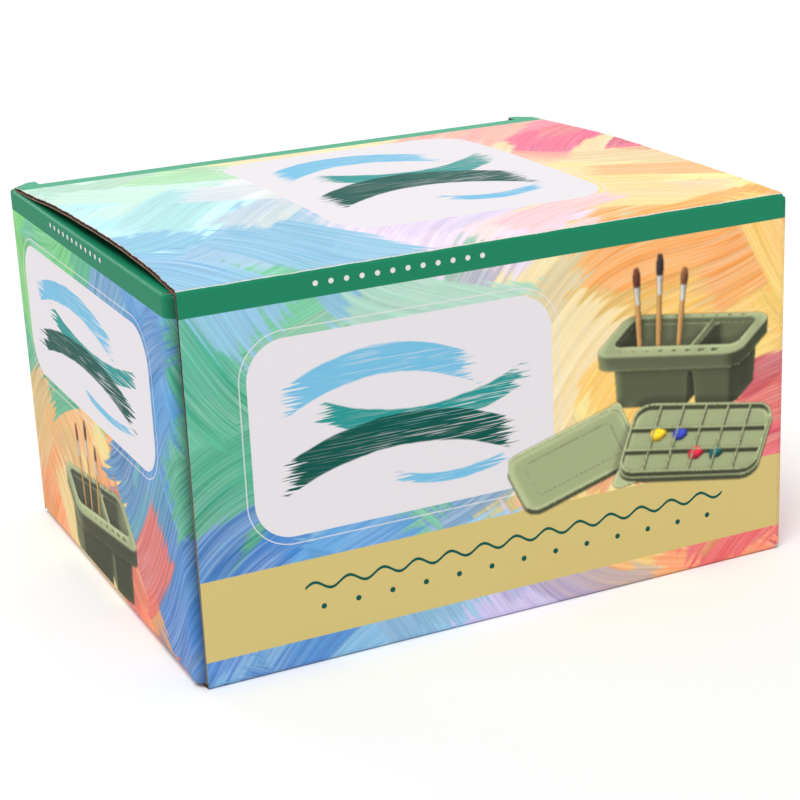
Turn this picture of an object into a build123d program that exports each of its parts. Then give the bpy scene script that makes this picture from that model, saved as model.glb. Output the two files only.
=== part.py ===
from build123d import *
import math
import os

# Printed tuck-top carton of thin corrugated board with a moulded paintbrush organizer inside.
# Millimetres. Origin at the middle of the carton's underside, +X along the length to the right,
# +Y away from the front panel, +Z up. The model is drawn closed, as it stands on a shelf.

# Carton, outside
CARTON_LENGTH = 255.0
CARTON_DEPTH = 204.0
CARTON_HEIGHT = 150.0
BOARD = 1.6

# Folds of the carton, radii at the outside of the board
WALL_FOLD_R = 2.4
GLUED_CORNER_R = 5.5
SHOULDER_R = 3.2
TUCK_FOLD_R = 2.4
BOTTOM_FOLD_R = 2.2
SLIT = 0.4

# Front panel and glue flap
SEAM_INSET = 3.5
GLUE_FLAP_WIDTH = 28.0
GLUE_FLAP_SLOPE = 14.0
GLUE_FLAP_END_GAP = 6.0

# Lid and its tuck flap
LID_BOW = 2.2
LID_INSET_FRONT = 3.5
LID_INSET_REAR = 1.2
LID_INSET_RIGHT = 2.4
EAR_REACH = 4.0
EAR_WIDTH = 10.5
EAR_PEAK = 7.0
TUCK_DEPTH = 22.0
TUCK_SIDE_GAP = 0.8
TUCK_SIDE_SLOPE = 4.0
TUCK_CORNER_R = 8.0

# Dust flaps under the lid
DUST_FLAP_LENGTH = 62.0
DUST_FLAP_TAPER = 0.95
DUST_FLAP_CORNER_R = 8.0
DUST_FLAP_REAR_STEP = 6.0
DUST_TO_TUCK = 1.2

# Interlocking bottom
BOTTOM_STEP = 28.0
BOTTOM_STEP_RUN = 24.0
BOTTOM_GAP = 0.6
BOTTOM_FLAP_LENGTH = 76.0
BOTTOM_FLAP_CORNER_R = 6.0

# Organizer, moulded plastic
PLASTIC = 2.4
DRAFT = 4.0

# Tub, as long as the carton lets it be
ORGANIZER_END_GAP = 5.5
TUB_DEPTH = 136.0
TUB_HEIGHT = 84.0
TUB_CORNER_R = 26.0
COLLAR_HEIGHT = 20.0
COLLAR_DRAFT = 1.5
COLLAR_EDGE_R = 1.8
LEDGE_SIDE = 16.0
LEDGE_FRONT = 29.0
LEDGE_REAR = 15.0
CUP_CORNER_R = 16.0
CUP_FLOOR_BEVEL = 3.5
DIVIDER_X = 24.0
DIVIDER_TOP = 9.0
DIVIDER_DROP = 7.0
RIDGE_HEIGHT = 5.0
RIDGE_WIDTH = 2.0
TUNNEL_HEIGHT = 50.0
TUNNEL_CROWN_R = 4.2
WASH_RIB_COUNT = 6
WASH_RIB_HEIGHT = 2.0
WASH_RIB_WIDTH = 1.8
WASH_RIB_MARGIN = 16.0

# Brush holes in the tub's ledges
HOLE_COUNT = 8
HOLE_PITCH = 21.3
HOLE_SHIFT = -5.5
FRONT_HOLE_SMALL = 4.0
FRONT_HOLE_LARGE = 13.0
REAR_HOLE_SMALL = 4.0
REAR_HOLE_LARGE = 8.0

# How palette and cover sit on the piece below
SKIRT_GAP = 0.6
SKIRT_WALL = 1.8
SKIRT_DROP = 6.0

# Palette
PALETTE_FLOOR = 2.0
PALETTE_STEP = 3.0
PALETTE_RIM = 12.0
PALETTE_RIM_WALL = 2.2
WELL_COLUMNS = 6
WELL_ROWS = 3
WELL_WALL = 1.8
WELL_WALL_HEIGHT = 9.0

# Cover
COVER_PLATE = 2.0
COVER_RIM_HEIGHT = 1.6
COVER_RIM_WIDTH = 5.0
COVER_SKIRT_LIFT = 0.4
GROOVE_MARGIN_X = 26.0
GROOVE_MARGIN_Y = 24.0
GROOVE_WIDTH = 3.0
GROOVE_DEPTH = 0.8
GROOVE_CORNER_R = 8.0

# Thumb tabs of palette and cover
TAB_R = 12.0
TAB_OUT_X = 4.0
TAB_OUT_Y = 10.0
TAB_THICKNESS = 2.0

# Places worked out from the sizes above
LEFT = -CARTON_LENGTH / 2
RIGHT = CARTON_LENGTH / 2
FRONT = -CARTON_DEPTH / 2
REAR = CARTON_DEPTH / 2
UNDER_LID = CARTON_HEIGHT - BOARD
SHOULDER_Z = UNDER_LID - SHOULDER_R
TUCK_FACE_Y = REAR - EAR_REACH
TUCK_START_Y = TUCK_FACE_Y - TUCK_FOLD_R
CARTON_FLOOR = 2 * BOARD
TUB_TOP = CARTON_FLOOR + TUB_HEIGHT
PALETTE_TOP = TUB_TOP + PALETTE_RIM
SKIRT_GROWTH = SKIRT_GAP + SKIRT_WALL
TUB_LENGTH = CARTON_LENGTH - 2 * (BOARD + ORGANIZER_END_GAP + TAB_OUT_X + SKIRT_GROWTH)


def write(node, solid):
    """Write one named piece to its own STEP file."""
    solid.label = node
    export_step(solid, f"parts/{node}.step")


def prism(points, low, high):
    """Upright prism with the given plan corners, between two heights."""
    outline = make_face(Polyline(*points, close=True))
    return Pos(0, 0, low) * extrude(outline, high - low)


def rounded_prism(width, depth, radius, low, high, x=0.0, y=0.0):
    """Upright prism with a rounded-rectangle plan, centred at x, y."""
    return Pos(x, y, low) * extrude(RectangleRounded(width, depth, radius), high - low)


def bend(centre, start, end, radius):
    """Face of a quarter turn of board: start and end are unit vectors from the bend's centre."""
    cx, cy = centre
    mid = ((start[0] + end[0]) / math.sqrt(2), (start[1] + end[1]) / math.sqrt(2))

    def place(direction, r):
        return (cx + direction[0] * r, cy + direction[1] * r)

    inner = radius - BOARD
    edges = [
        ThreePointArc(place(start, radius), place(mid, radius), place(end, radius)),
        Line(place(end, radius), place(end, inner)),
        ThreePointArc(place(end, inner), place(mid, inner), place(start, inner)),
        Line(place(start, inner), place(start, radius)),
    ]
    return make_face(edges)


def strip(low, high):
    """Plan rectangle between two corners."""
    width = high[0] - low[0]
    height = high[1] - low[1]
    return Pos(low[0] + width / 2, low[1] + height / 2) * Rectangle(width, height)


# Walls of the carton

def front_panel():
    """Printed front wall. Its top is mitred against the lid, its left edge is raw."""
    x_low = LEFT + SEAM_INSET
    x_high = RIGHT - WALL_FOLD_R
    section = make_face(Polyline(
        (FRONT, BOTTOM_FOLD_R),
        (FRONT + BOARD, BOTTOM_FOLD_R),
        (FRONT + BOARD, UNDER_LID),
        (FRONT, CARTON_HEIGHT),
        close=True,
    ))
    return Pos(x_low, 0, 0) * extrude(Plane.YZ * section, x_high - x_low)


def rear_panel():
    """Rear wall, which stops under the lid's ears."""
    x_low = LEFT + WALL_FOLD_R
    x_high = RIGHT - WALL_FOLD_R
    plan = strip((x_low, REAR - BOARD), (x_high, REAR))
    return Pos(0, 0, BOTTOM_FOLD_R) * extrude(plan, UNDER_LID - BOTTOM_FOLD_R)


def end_panel(plan_slab, corners):
    """End wall: flat board between top and bottom folds, with its two upright corner folds."""
    slab_low = BOARD + BOTTOM_FOLD_R
    slab = Pos(0, 0, slab_low) * extrude(plan_slab, SHOULDER_Z - slab_low)
    corner_top = UNDER_LID - SLIT / 2
    for corner in corners:
        slab += Pos(0, 0, BOTTOM_FOLD_R) * extrude(corner, corner_top - BOTTOM_FOLD_R)
    return slab


def left_end_panel():
    """Left end, with the wide rounded corner that runs in behind the front panel."""
    glued_y = FRONT + BOARD + GLUED_CORNER_R
    slab = strip((LEFT, glued_y), (LEFT + BOARD, REAR - WALL_FOLD_R))
    glued = bend((LEFT + GLUED_CORNER_R, glued_y), (-1, 0), (0, -1), GLUED_CORNER_R)
    rear = bend((LEFT + WALL_FOLD_R, REAR - WALL_FOLD_R), (0, 1), (-1, 0), WALL_FOLD_R)
    return end_panel(slab, (glued, rear))


def right_end_panel():
    """Right end, with two plain corner folds."""
    slab = strip((RIGHT - BOARD, FRONT + WALL_FOLD_R), (RIGHT, REAR - WALL_FOLD_R))
    front = bend((RIGHT - WALL_FOLD_R, FRONT + WALL_FOLD_R), (0, -1), (1, 0), WALL_FOLD_R)
    rear = bend((RIGHT - WALL_FOLD_R, REAR - WALL_FOLD_R), (1, 0), (0, 1), WALL_FOLD_R)
    return end_panel(slab, (front, rear))


def glue_flap():
    """Flap glued behind the front panel, its top and bottom cut on a slope."""
    x_low = LEFT + GLUED_CORNER_R
    x_high = x_low + GLUE_FLAP_WIDTH
    z_low = CARTON_FLOOR + GLUE_FLAP_END_GAP
    z_high = UNDER_LID - BOARD - GLUE_FLAP_END_GAP
    outline = make_face(Polyline(
        (x_low, z_low),
        (x_high, z_low + GLUE_FLAP_SLOPE),
        (x_high, z_high - GLUE_FLAP_SLOPE),
        (x_low, z_high),
        close=True,
    ))
    return Pos(0, FRONT + 2 * BOARD, 0) * extrude(Plane.XZ * outline, BOARD)


# Closure of the carton

def lid_panel():
    """Bowed lid: a shallow arc across the depth, cut to its plan outline with two lock ears."""
    middle_y = (FRONT + TUCK_START_Y) / 2
    section = make_face([
        ThreePointArc((FRONT, CARTON_HEIGHT), (middle_y, CARTON_HEIGHT + LID_BOW),
                      (TUCK_START_Y, CARTON_HEIGHT)),
        Line((TUCK_START_Y, CARTON_HEIGHT), (REAR, CARTON_HEIGHT)),
        Line((REAR, CARTON_HEIGHT), (REAR, UNDER_LID)),
        Line((REAR, UNDER_LID), (TUCK_START_Y, UNDER_LID)),
        ThreePointArc((TUCK_START_Y, UNDER_LID), (middle_y, UNDER_LID + LID_BOW),
                      (FRONT + BOARD, UNDER_LID)),
        Line((FRONT + BOARD, UNDER_LID), (FRONT, CARTON_HEIGHT)),
    ])
    sheet = Pos(LEFT, 0, 0) * extrude(Plane.YZ * section, CARTON_LENGTH)
    x_front = LEFT + LID_INSET_FRONT
    x_rear = LEFT + LID_INSET_REAR
    x_right = RIGHT - LID_INSET_RIGHT
    outline = prism([
        (x_front, FRONT),
        (x_right, FRONT),
        (x_right, TUCK_START_Y),
        (x_right - EAR_PEAK, REAR),
        (x_right - EAR_WIDTH, REAR),
        (x_right - EAR_WIDTH, TUCK_START_Y),
        (x_rear + EAR_WIDTH, TUCK_START_Y),
        (x_rear + EAR_WIDTH, REAR),
        (x_rear + EAR_PEAK, REAR),
        (x_rear, TUCK_START_Y),
    ], UNDER_LID - BOARD, CARTON_HEIGHT + LID_BOW + BOARD)
    return sheet & outline


def tuck_flap():
    """Tuck flap: the lid's rear fold and the tongue behind the rear wall, with rounded corners."""
    x_low = LEFT + LID_INSET_REAR + EAR_WIDTH + TUCK_SIDE_GAP
    x_high = RIGHT - LID_INSET_RIGHT - EAR_WIDTH - TUCK_SIDE_GAP
    fold_z = CARTON_HEIGHT - TUCK_FOLD_R
    tip_z = CARTON_HEIGHT - TUCK_DEPTH
    fold = bend((TUCK_START_Y, fold_z), (0, 1), (1, 0), TUCK_FOLD_R)
    tongue = strip((TUCK_FACE_Y - BOARD, tip_z), (TUCK_FACE_Y, fold_z))
    sheet = Pos(x_low, 0, 0) * extrude(Plane.YZ * (fold + tongue), x_high - x_low)
    outline = make_face(Polyline(
        (x_low, CARTON_HEIGHT),
        (x_low, fold_z),
        (x_low + TUCK_SIDE_SLOPE, tip_z),
        (x_high - TUCK_SIDE_SLOPE, tip_z),
        (x_high, fold_z),
        (x_high, CARTON_HEIGHT),
        close=True,
    ))
    tips = outline.vertices().filter_by(lambda v: abs(v.Y - tip_z) < BOARD / 10)
    outline = fillet(tips, TUCK_CORNER_R)
    cutter = Pos(0, REAR, 0) * extrude(Plane.XZ * outline, 2 * EAR_REACH + 2 * TUCK_FOLD_R)
    return sheet & cutter


def dust_flap(side, hinge_front):
    """Dust flap of one end: rounded shoulder and inner leaf. side is -1 on the left, 1 on the right.

    hinge_front is where the hinge line starts. The leaf's front edge slopes away from the lid's
    hinge, so that the lid clears it as both open.
    """
    edge = side * CARTON_LENGTH / 2
    tip = edge - side * DUST_FLAP_LENGTH
    inner = edge - side * SHOULDER_R
    hinge_rear = REAR - WALL_FOLD_R - SLIT
    leaf_rear = TUCK_FACE_Y - BOARD - DUST_TO_TUCK
    step = edge - side * (SHOULDER_R + DUST_FLAP_REAR_STEP)
    slope = (DUST_FLAP_LENGTH - SHOULDER_R) * DUST_FLAP_TAPER
    shoulder = bend((inner, SHOULDER_Z), (side, 0), (0, 1), SHOULDER_R)
    leaf = strip((min(tip, inner), UNDER_LID - BOARD), (max(tip, inner), UNDER_LID))
    sheet = Pos(0, REAR, 0) * extrude(Plane.XZ * (shoulder + leaf), CARTON_DEPTH)
    outline = make_face(Polyline(
        (edge, hinge_front),
        (inner, hinge_front),
        (tip, hinge_front + slope),
        (tip, leaf_rear),
        (step, leaf_rear),
        (inner, hinge_rear),
        (edge, hinge_rear),
        close=True,
    ))
    tips = outline.vertices().filter_by(lambda v: abs(v.X - tip) < BOARD / 10)
    outline = fillet(tips, DUST_FLAP_CORNER_R)
    low = SHOULDER_Z - SHOULDER_R
    return sheet & (Pos(0, 0, low) * extrude(outline, CARTON_HEIGHT - low))


def bottom_panel(side):
    """One half of the interlocking bottom. side is -1 for the front half, 1 for the rear half.

    The free edges of the two halves are the same stepped line, half a gap to each side of it.
    """
    wall = side * CARTON_DEPTH / 2
    inner = wall - side * BOTTOM_FOLD_R
    x_low = LEFT + SEAM_INSET
    x_high = RIGHT - WALL_FOLD_R
    far = side * -BOTTOM_STEP
    gap = side * BOTTOM_GAP / 2
    fold = bend((inner, BOTTOM_FOLD_R), (side, 0), (0, -1), BOTTOM_FOLD_R)
    leaf = strip((min(inner, far), 0), (max(inner, far), BOARD))
    sheet = Pos(x_low, 0, 0) * extrude(Plane.YZ * (fold + leaf), x_high - x_low)
    outline = prism([
        (x_low, wall),
        (x_low, BOTTOM_STEP + gap),
        (-BOTTOM_STEP_RUN / 2, BOTTOM_STEP + gap),
        (BOTTOM_STEP_RUN / 2, -BOTTOM_STEP + gap),
        (x_high, -BOTTOM_STEP + gap),
        (x_high, wall),
    ], 0, 2 * BOTTOM_FOLD_R)
    return sheet & outline


def bottom_flap(side, hinge_front):
    """Inner bottom flap of one end, glued down, one edge cut on the diagonal."""
    edge = side * CARTON_LENGTH / 2
    tip = edge - side * BOTTOM_FLAP_LENGTH
    inner = edge - side * BOTTOM_FOLD_R
    hinge_rear = REAR - WALL_FOLD_R - SLIT
    slope = BOTTOM_FLAP_LENGTH - BOTTOM_FOLD_R
    front_tip = hinge_front + (slope if side < 0 else 0)
    rear_tip = hinge_rear - (slope if side > 0 else 0)
    fold = bend((inner, BOARD + BOTTOM_FOLD_R), (side, 0), (0, -1), BOTTOM_FOLD_R)
    leaf = strip((min(tip, inner), BOARD), (max(tip, inner), CARTON_FLOOR))
    sheet = Pos(0, REAR, 0) * extrude(Plane.XZ * (fold + leaf), CARTON_DEPTH)
    outline = make_face(Polyline(
        (edge, hinge_front),
        (inner, hinge_front),
        (tip, front_tip),
        (tip, rear_tip),
        (inner, hinge_rear),
        (edge, hinge_rear),
        close=True,
    ))
    tips = outline.vertices().filter_by(lambda v: abs(v.X - tip) < BOARD / 10)
    outline = fillet(tips, BOTTOM_FLAP_CORNER_R)
    return sheet & extrude(outline, BOARD + 2 * BOTTOM_FOLD_R)


# Organizer

def hole_diameter(index, small, large):
    """Brush holes grow evenly from the left to the right."""
    return small + (large - small) * index / (HOLE_COUNT - 1)


def brush_holes():
    """Both rows of brush holes, as cutters through the tub's ledge."""
    rows = [
        (-TUB_DEPTH / 2 + LEDGE_FRONT / 2, FRONT_HOLE_SMALL, FRONT_HOLE_LARGE),
        (TUB_DEPTH / 2 - LEDGE_REAR / 2, REAR_HOLE_SMALL, REAR_HOLE_LARGE),
    ]
    cutters = []
    for y, small, large in rows:
        for index in range(HOLE_COUNT):
            x = HOLE_SHIFT + (index - (HOLE_COUNT - 1) / 2) * HOLE_PITCH
            radius = hole_diameter(index, small, large) / 2
            cutters.append(Pos(x, y, TUB_TOP - PLASTIC) * Cylinder(radius, 3 * PLASTIC))
    return cutters


def cup_cutter(x_low, x_high, y_low, y_high, corner_r):
    """Inside of one cup, wider at the top by the draft, with a bevelled floor edge."""
    depth = TUB_HEIGHT - PLASTIC
    plan = RectangleRounded(x_high - x_low, y_high - y_low, corner_r)
    cutter = extrude(plan, -depth, taper=DRAFT)
    floor = cutter.faces().sort_by(Axis.Z)[0]
    cutter = chamfer(floor.edges(), CUP_FLOOR_BEVEL)
    return Pos((x_low + x_high) / 2, (y_low + y_high) / 2, TUB_TOP) * cutter


def wash_ribs(x_low, x_high, y_low, y_high):
    """Low ribs across the larger cup's floor, where a wet brush is wiped."""
    pitch = (x_high - x_low) / (WASH_RIB_COUNT - 1)
    floor = CARTON_FLOOR + PLASTIC
    ribs = []
    for index in range(WASH_RIB_COUNT):
        x = x_low + index * pitch
        rib = strip((x - WASH_RIB_WIDTH / 2, y_low), (x + WASH_RIB_WIDTH / 2, y_high))
        ribs.append(Pos(0, 0, floor - WASH_RIB_HEIGHT / 2) * extrude(rib, 1.5 * WASH_RIB_HEIGHT))
    return ribs


def tunnel_half_width(height):
    """Half the gap between the two cups' outer faces, at a height above the tub's foot."""
    return DIVIDER_TOP / 2 + (TUB_HEIGHT - height) * math.tan(math.radians(DRAFT)) - PLASTIC


def tub():
    """Two cups under a wide collar with brush holes, and an arched tunnel between the cups."""
    x_half = TUB_LENGTH / 2 - LEDGE_SIDE
    y_low = -TUB_DEPTH / 2 + LEDGE_FRONT
    y_high = TUB_DEPTH / 2 - LEDGE_REAR
    y_mid = (y_low + y_high) / 2
    collar_low = TUB_TOP - COLLAR_HEIGHT

    collar_plan = RectangleRounded(TUB_LENGTH, TUB_DEPTH, TUB_CORNER_R)
    collar = Pos(0, 0, TUB_TOP) * extrude(collar_plan, -COLLAR_HEIGHT, taper=COLLAR_DRAFT)
    top_edges = collar.faces().sort_by(Axis.Z)[-1].edges()
    collar = fillet(top_edges, COLLAR_EDGE_R)
    inside_plan = RectangleRounded(TUB_LENGTH - 2 * PLASTIC, TUB_DEPTH - 2 * PLASTIC,
                                   TUB_CORNER_R - PLASTIC)
    inside = extrude(inside_plan, -COLLAR_HEIGHT, taper=COLLAR_DRAFT)
    collar -= Pos(0, 0, TUB_TOP - PLASTIC) * inside

    body_plan = RectangleRounded(2 * (x_half + PLASTIC), y_high - y_low + 2 * PLASTIC,
                                 CUP_CORNER_R + PLASTIC)
    body = Pos(0, y_mid, TUB_TOP) * extrude(body_plan, -TUB_HEIGHT, taper=DRAFT)
    body &= Pos(0, 0, (TUB_TOP + CARTON_FLOOR) / 2 - PLASTIC / 2) * Box(
        TUB_LENGTH, TUB_DEPTH, TUB_HEIGHT - PLASTIC)
    shell = collar + body

    left_wall = DIVIDER_X - DIVIDER_TOP / 2
    right_wall = DIVIDER_X + DIVIDER_TOP / 2
    shell -= cup_cutter(-x_half, left_wall, y_low, y_high, CUP_CORNER_R)
    shell -= cup_cutter(right_wall, x_half, y_low, y_high, CUP_CORNER_R)

    mouth = rounded_prism(2 * x_half, y_high - y_low, CUP_CORNER_R,
                          TUB_TOP - DIVIDER_DROP, TUB_TOP + PLASTIC, 0.0, y_mid)
    ridge_low = TUB_TOP - DIVIDER_DROP
    ridge = make_face(Polyline(
        (left_wall, ridge_low),
        (right_wall, ridge_low),
        (DIVIDER_X + RIDGE_WIDTH / 2, ridge_low + RIDGE_HEIGHT),
        (DIVIDER_X - RIDGE_WIDTH / 2, ridge_low + RIDGE_HEIGHT),
        close=True,
    ))
    shell -= mouth
    shell += Pos(0, y_high, 0) * extrude(Plane.XZ * ridge, y_high - y_low)

    top_half = tunnel_half_width(TUNNEL_HEIGHT)
    low_half = tunnel_half_width(-BOARD)
    arch = make_face(Polyline(
        (DIVIDER_X - low_half, CARTON_FLOOR - BOARD),
        (DIVIDER_X + low_half, CARTON_FLOOR - BOARD),
        (DIVIDER_X + top_half, CARTON_FLOOR + TUNNEL_HEIGHT),
        (DIVIDER_X - top_half, CARTON_FLOOR + TUNNEL_HEIGHT),
        close=True,
    ))
    crown = arch.vertices().filter_by(lambda v: v.Y > CARTON_FLOOR)
    arch = fillet(crown, TUNNEL_CROWN_R)
    shell -= Pos(0, TUB_DEPTH, 0) * extrude(Plane.XZ * arch, 2 * TUB_DEPTH)

    rib_low = -x_half + WASH_RIB_MARGIN
    rib_high = left_wall - WASH_RIB_MARGIN
    for rib in wash_ribs(rib_low, rib_high, y_low + WASH_RIB_MARGIN, y_high - WASH_RIB_MARGIN):
        shell += rib
    for hole in brush_holes():
        shell -= hole
    return shell


def grown(growth, low, high):
    """Upright prism of the tub's outline, grown all round."""
    return rounded_prism(TUB_LENGTH + 2 * growth, TUB_DEPTH + 2 * growth,
                         TUB_CORNER_R + growth, low, high)


def thumb_tab(side, low):
    """Lobe drawn out of one corner. side is -1 for the front-left corner, 1 for the rear-right one."""
    corner_x = side * (TUB_LENGTH / 2 - TUB_CORNER_R)
    corner_y = side * (TUB_DEPTH / 2 - TUB_CORNER_R)
    tip_x = side * (TUB_LENGTH / 2 + SKIRT_GROWTH + TAB_OUT_X - TAB_R)
    tip_y = side * (TUB_DEPTH / 2 + SKIRT_GROWTH + TAB_OUT_Y - TAB_R)
    corner = Pos(corner_x, corner_y) * Circle(TUB_CORNER_R + SKIRT_GROWTH)
    tip = Pos(tip_x, tip_y) * Circle(TAB_R)
    lobe = make_hull(corner.edges() + tip.edges())
    return Pos(0, 0, low) * extrude(lobe, TAB_THICKNESS)


def palette():
    """Mixing palette: skirt over the tub's collar, step for the cover, rim and rows of wells."""
    skirt_low = TUB_TOP - SKIRT_DROP
    step_top = TUB_TOP + PALETTE_STEP
    floor_top = TUB_TOP + PALETTE_FLOOR
    tray = grown(SKIRT_GROWTH, skirt_low, step_top) + thumb_tab(-1, skirt_low)
    tray -= grown(SKIRT_GAP, skirt_low, TUB_TOP)
    tray += grown(0, TUB_TOP, PALETTE_TOP)

    well_length = TUB_LENGTH - 2 * PALETTE_RIM_WALL
    well_depth = TUB_DEPTH - 2 * PALETTE_RIM_WALL
    inside = grown(-PALETTE_RIM_WALL, floor_top, PALETTE_TOP)
    tray -= inside
    walls = []
    wall_z = floor_top + WELL_WALL_HEIGHT / 2
    for column in range(1, WELL_COLUMNS):
        x = -well_length / 2 + column * well_length / WELL_COLUMNS
        walls.append(Pos(x, 0, wall_z) * Box(WELL_WALL, well_depth, WELL_WALL_HEIGHT))
    for row in range(1, WELL_ROWS):
        y = -well_depth / 2 + row * well_depth / WELL_ROWS
        walls.append(Pos(0, y, wall_z) * Box(well_length, WELL_WALL, WELL_WALL_HEIGHT))
    for wall in walls:
        tray += wall & inside
    return tray


def cover():
    """Cover: skirt round the palette's rim, plate with raised rim and a grooved panel."""
    skirt_low = TUB_TOP + PALETTE_STEP + COVER_SKIRT_LIFT
    plate_top = PALETTE_TOP + COVER_PLATE
    rim_top = plate_top + COVER_RIM_HEIGHT
    shell = grown(SKIRT_GROWTH, skirt_low, rim_top) + thumb_tab(1, skirt_low)
    shell -= grown(SKIRT_GAP, skirt_low, PALETTE_TOP)
    panel_length = TUB_LENGTH + 2 * SKIRT_GROWTH - 2 * COVER_RIM_WIDTH
    panel_depth = TUB_DEPTH + 2 * SKIRT_GROWTH - 2 * COVER_RIM_WIDTH
    shell -= grown(SKIRT_GROWTH - COVER_RIM_WIDTH, plate_top, rim_top)

    groove_length = panel_length - 2 * GROOVE_MARGIN_X
    groove_depth = panel_depth - 2 * GROOVE_MARGIN_Y
    groove = rounded_prism(groove_length, groove_depth, GROOVE_CORNER_R,
                           plate_top - GROOVE_DEPTH, plate_top)
    groove -= rounded_prism(groove_length - 2 * GROOVE_WIDTH, groove_depth - 2 * GROOVE_WIDTH,
                            GROOVE_CORNER_R - GROOVE_WIDTH, plate_top - GROOVE_DEPTH, plate_top)
    return shell - groove


os.makedirs("parts", exist_ok=True)
left_hinge_front = FRONT + BOARD + GLUED_CORNER_R + SLIT
right_hinge_front = FRONT + WALL_FOLD_R + SLIT

write("front_panel", front_panel())
write("rear_panel", rear_panel())
write("left_end_panel", left_end_panel())
write("right_end_panel", right_end_panel())
write("glue_flap", glue_flap())
write("lid_panel", lid_panel())
write("tuck_flap", tuck_flap())
write("left_dust_flap", dust_flap(-1, left_hinge_front))
write("right_dust_flap", dust_flap(1, right_hinge_front))
write("bottom_front_panel", bottom_panel(-1))
write("bottom_rear_panel", bottom_panel(1))
write("bottom_left_flap", bottom_flap(-1, left_hinge_front))
write("bottom_right_flap", bottom_flap(1, right_hinge_front))
write("tub", tub())
write("palette", palette())
write("cover", cover())
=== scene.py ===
"""Printed tuck-top carton of thin corrugated board, with a moulded paintbrush organizer inside it.

Every panel of the carton is made as real board: a printed liner, a fluted middle and a brown inner liner.
Lengths are metres, X along the carton, Y away from its front panel, Z up. Print is laid out on the flat
sheet that the carton is folded from: u runs round the four walls, v runs up the front and over the lid.
"""

import bmesh
import bpy
import numpy as np
from mathutils import Matrix, Vector


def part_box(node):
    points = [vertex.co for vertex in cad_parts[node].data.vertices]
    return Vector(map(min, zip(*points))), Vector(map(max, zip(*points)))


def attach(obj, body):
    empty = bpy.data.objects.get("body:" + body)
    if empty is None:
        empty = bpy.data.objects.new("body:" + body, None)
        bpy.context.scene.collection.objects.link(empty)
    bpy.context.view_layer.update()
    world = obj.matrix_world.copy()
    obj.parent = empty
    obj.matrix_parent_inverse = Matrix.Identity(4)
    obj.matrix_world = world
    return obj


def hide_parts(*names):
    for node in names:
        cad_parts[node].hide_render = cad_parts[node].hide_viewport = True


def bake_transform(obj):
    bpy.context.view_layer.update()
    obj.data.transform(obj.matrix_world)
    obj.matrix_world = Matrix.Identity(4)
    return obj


MM = 0.001

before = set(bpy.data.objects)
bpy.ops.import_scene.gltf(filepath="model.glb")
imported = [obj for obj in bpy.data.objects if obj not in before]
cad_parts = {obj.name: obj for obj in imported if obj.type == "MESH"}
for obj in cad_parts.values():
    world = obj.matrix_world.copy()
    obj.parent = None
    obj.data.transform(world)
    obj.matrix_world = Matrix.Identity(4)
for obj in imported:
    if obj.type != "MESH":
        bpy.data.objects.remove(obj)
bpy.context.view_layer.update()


# Places of the carton's panels, read from the frame

front_low, front_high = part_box("front_panel")
rear_low, rear_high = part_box("rear_panel")
left_low, left_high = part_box("left_end_panel")
right_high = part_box("right_end_panel")[1]
tuck_low, tuck_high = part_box("tuck_flap")
lid_low, lid_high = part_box("lid_panel")

BOARD = front_high.y - front_low.y
FRONT = front_low.y
REAR = rear_high.y
LEFT = left_low.x
RIGHT = right_high.x
TOP = front_high.z
DEPTH = REAR - FRONT
UNDER_LID = TOP - BOARD
SHOULDER_R = 3.2 * MM
# Powers of the round tops: the dust flaps' squared shoulders, and the corner folds' domes
SHOULDER_POWER = 3.4
CORNER_POWER = 6
SHOULDER_Z = UNDER_LID - SHOULDER_R
WALL_FOLD_R = RIGHT - front_high.x
GLUED_CORNER_R = left_high.x - LEFT
BOTTOM_FOLD_R = front_low.z
TUCK_FOLD_R = 2.4 * MM
TUCK_FACE = tuck_high.y
TUCK_START = TUCK_FACE - TUCK_FOLD_R
LID_BOW = lid_high.z - TOP
EAR_WIDTH = 10.5 * MM
EAR_PEAK = 7.0 * MM
LID_FOLD_R = 1.7 * MM
FLAP_FOLD_R = 2.2 * MM
FLAP_FOLD_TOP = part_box("bottom_left_flap")[1].z
LOCK_STEP = 28.0 * MM
LOCK_SLOPE = 12.0 * MM
LOCK_GAP = 0.3 * MM
# Run in which an end wall's top steps from its corner fold down to the dust flap's shoulder, and the
# share of its height that has even print steps, below the fine ones of its corner folds' tops
TOP_STEP = 0.2 * MM
EVEN_HEIGHT = 0.975
# Slit between a dust flap and the corner folds beside it, and between those folds and the lid
SLIT = 0.05 * MM
# Dust flap's leaf: its sag and the run in which it sinks, how far its front edge stays straight, the
# share of its length by which that edge then slopes back, its rear edge's run, its gap to the tuck flap,
# and its tip's corners
LEAF_DROP = 2.2 * MM
LEAF_SINKS = 9.0 * MM
LEAF_STRAIGHT = 12.0 * MM
LEAF_SETBACK = 0.95
LEAF_REAR_RUN = 6.0 * MM
LEAF_TO_TUCK = 1.2 * MM
LEAF_CORNER = 8.0 * MM
# Tuck flap's side edges: how far they slope in, and their round lower corners
TUCK_SLOPE = 4.0 * MM
TUCK_CORNER = 8.0 * MM
MOULD_EDGE = 0.35 * MM
MOULD_CREASE = np.radians(32)

# Swells and dents along the lid's two side edges: place, reach and height. They die out before its folds
LEFT_DENTS = np.array([(-44.0, 40.0, 2.1), (14.0, 34.0, 1.5), (46.0, 16.0, 0.5), (4.0, 7.0, -0.25),
                       (-76.0, 12.0, 0.5)]) * MM
RIGHT_DENTS = np.array([(30.0, 28.0, 0.35), (-40.0, 30.0, -0.20)]) * MM
DENTS_DIE_OUT = 14.0 * MM

# The board itself
LINER = 0.28 * MM
MEDIUM = 0.20 * MM
FLUTE_PITCH = 3.2 * MM
FLUTE_STEPS = 10

# Grid steps of the printed faces
PRINT_STEP = 1.0 * MM
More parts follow.
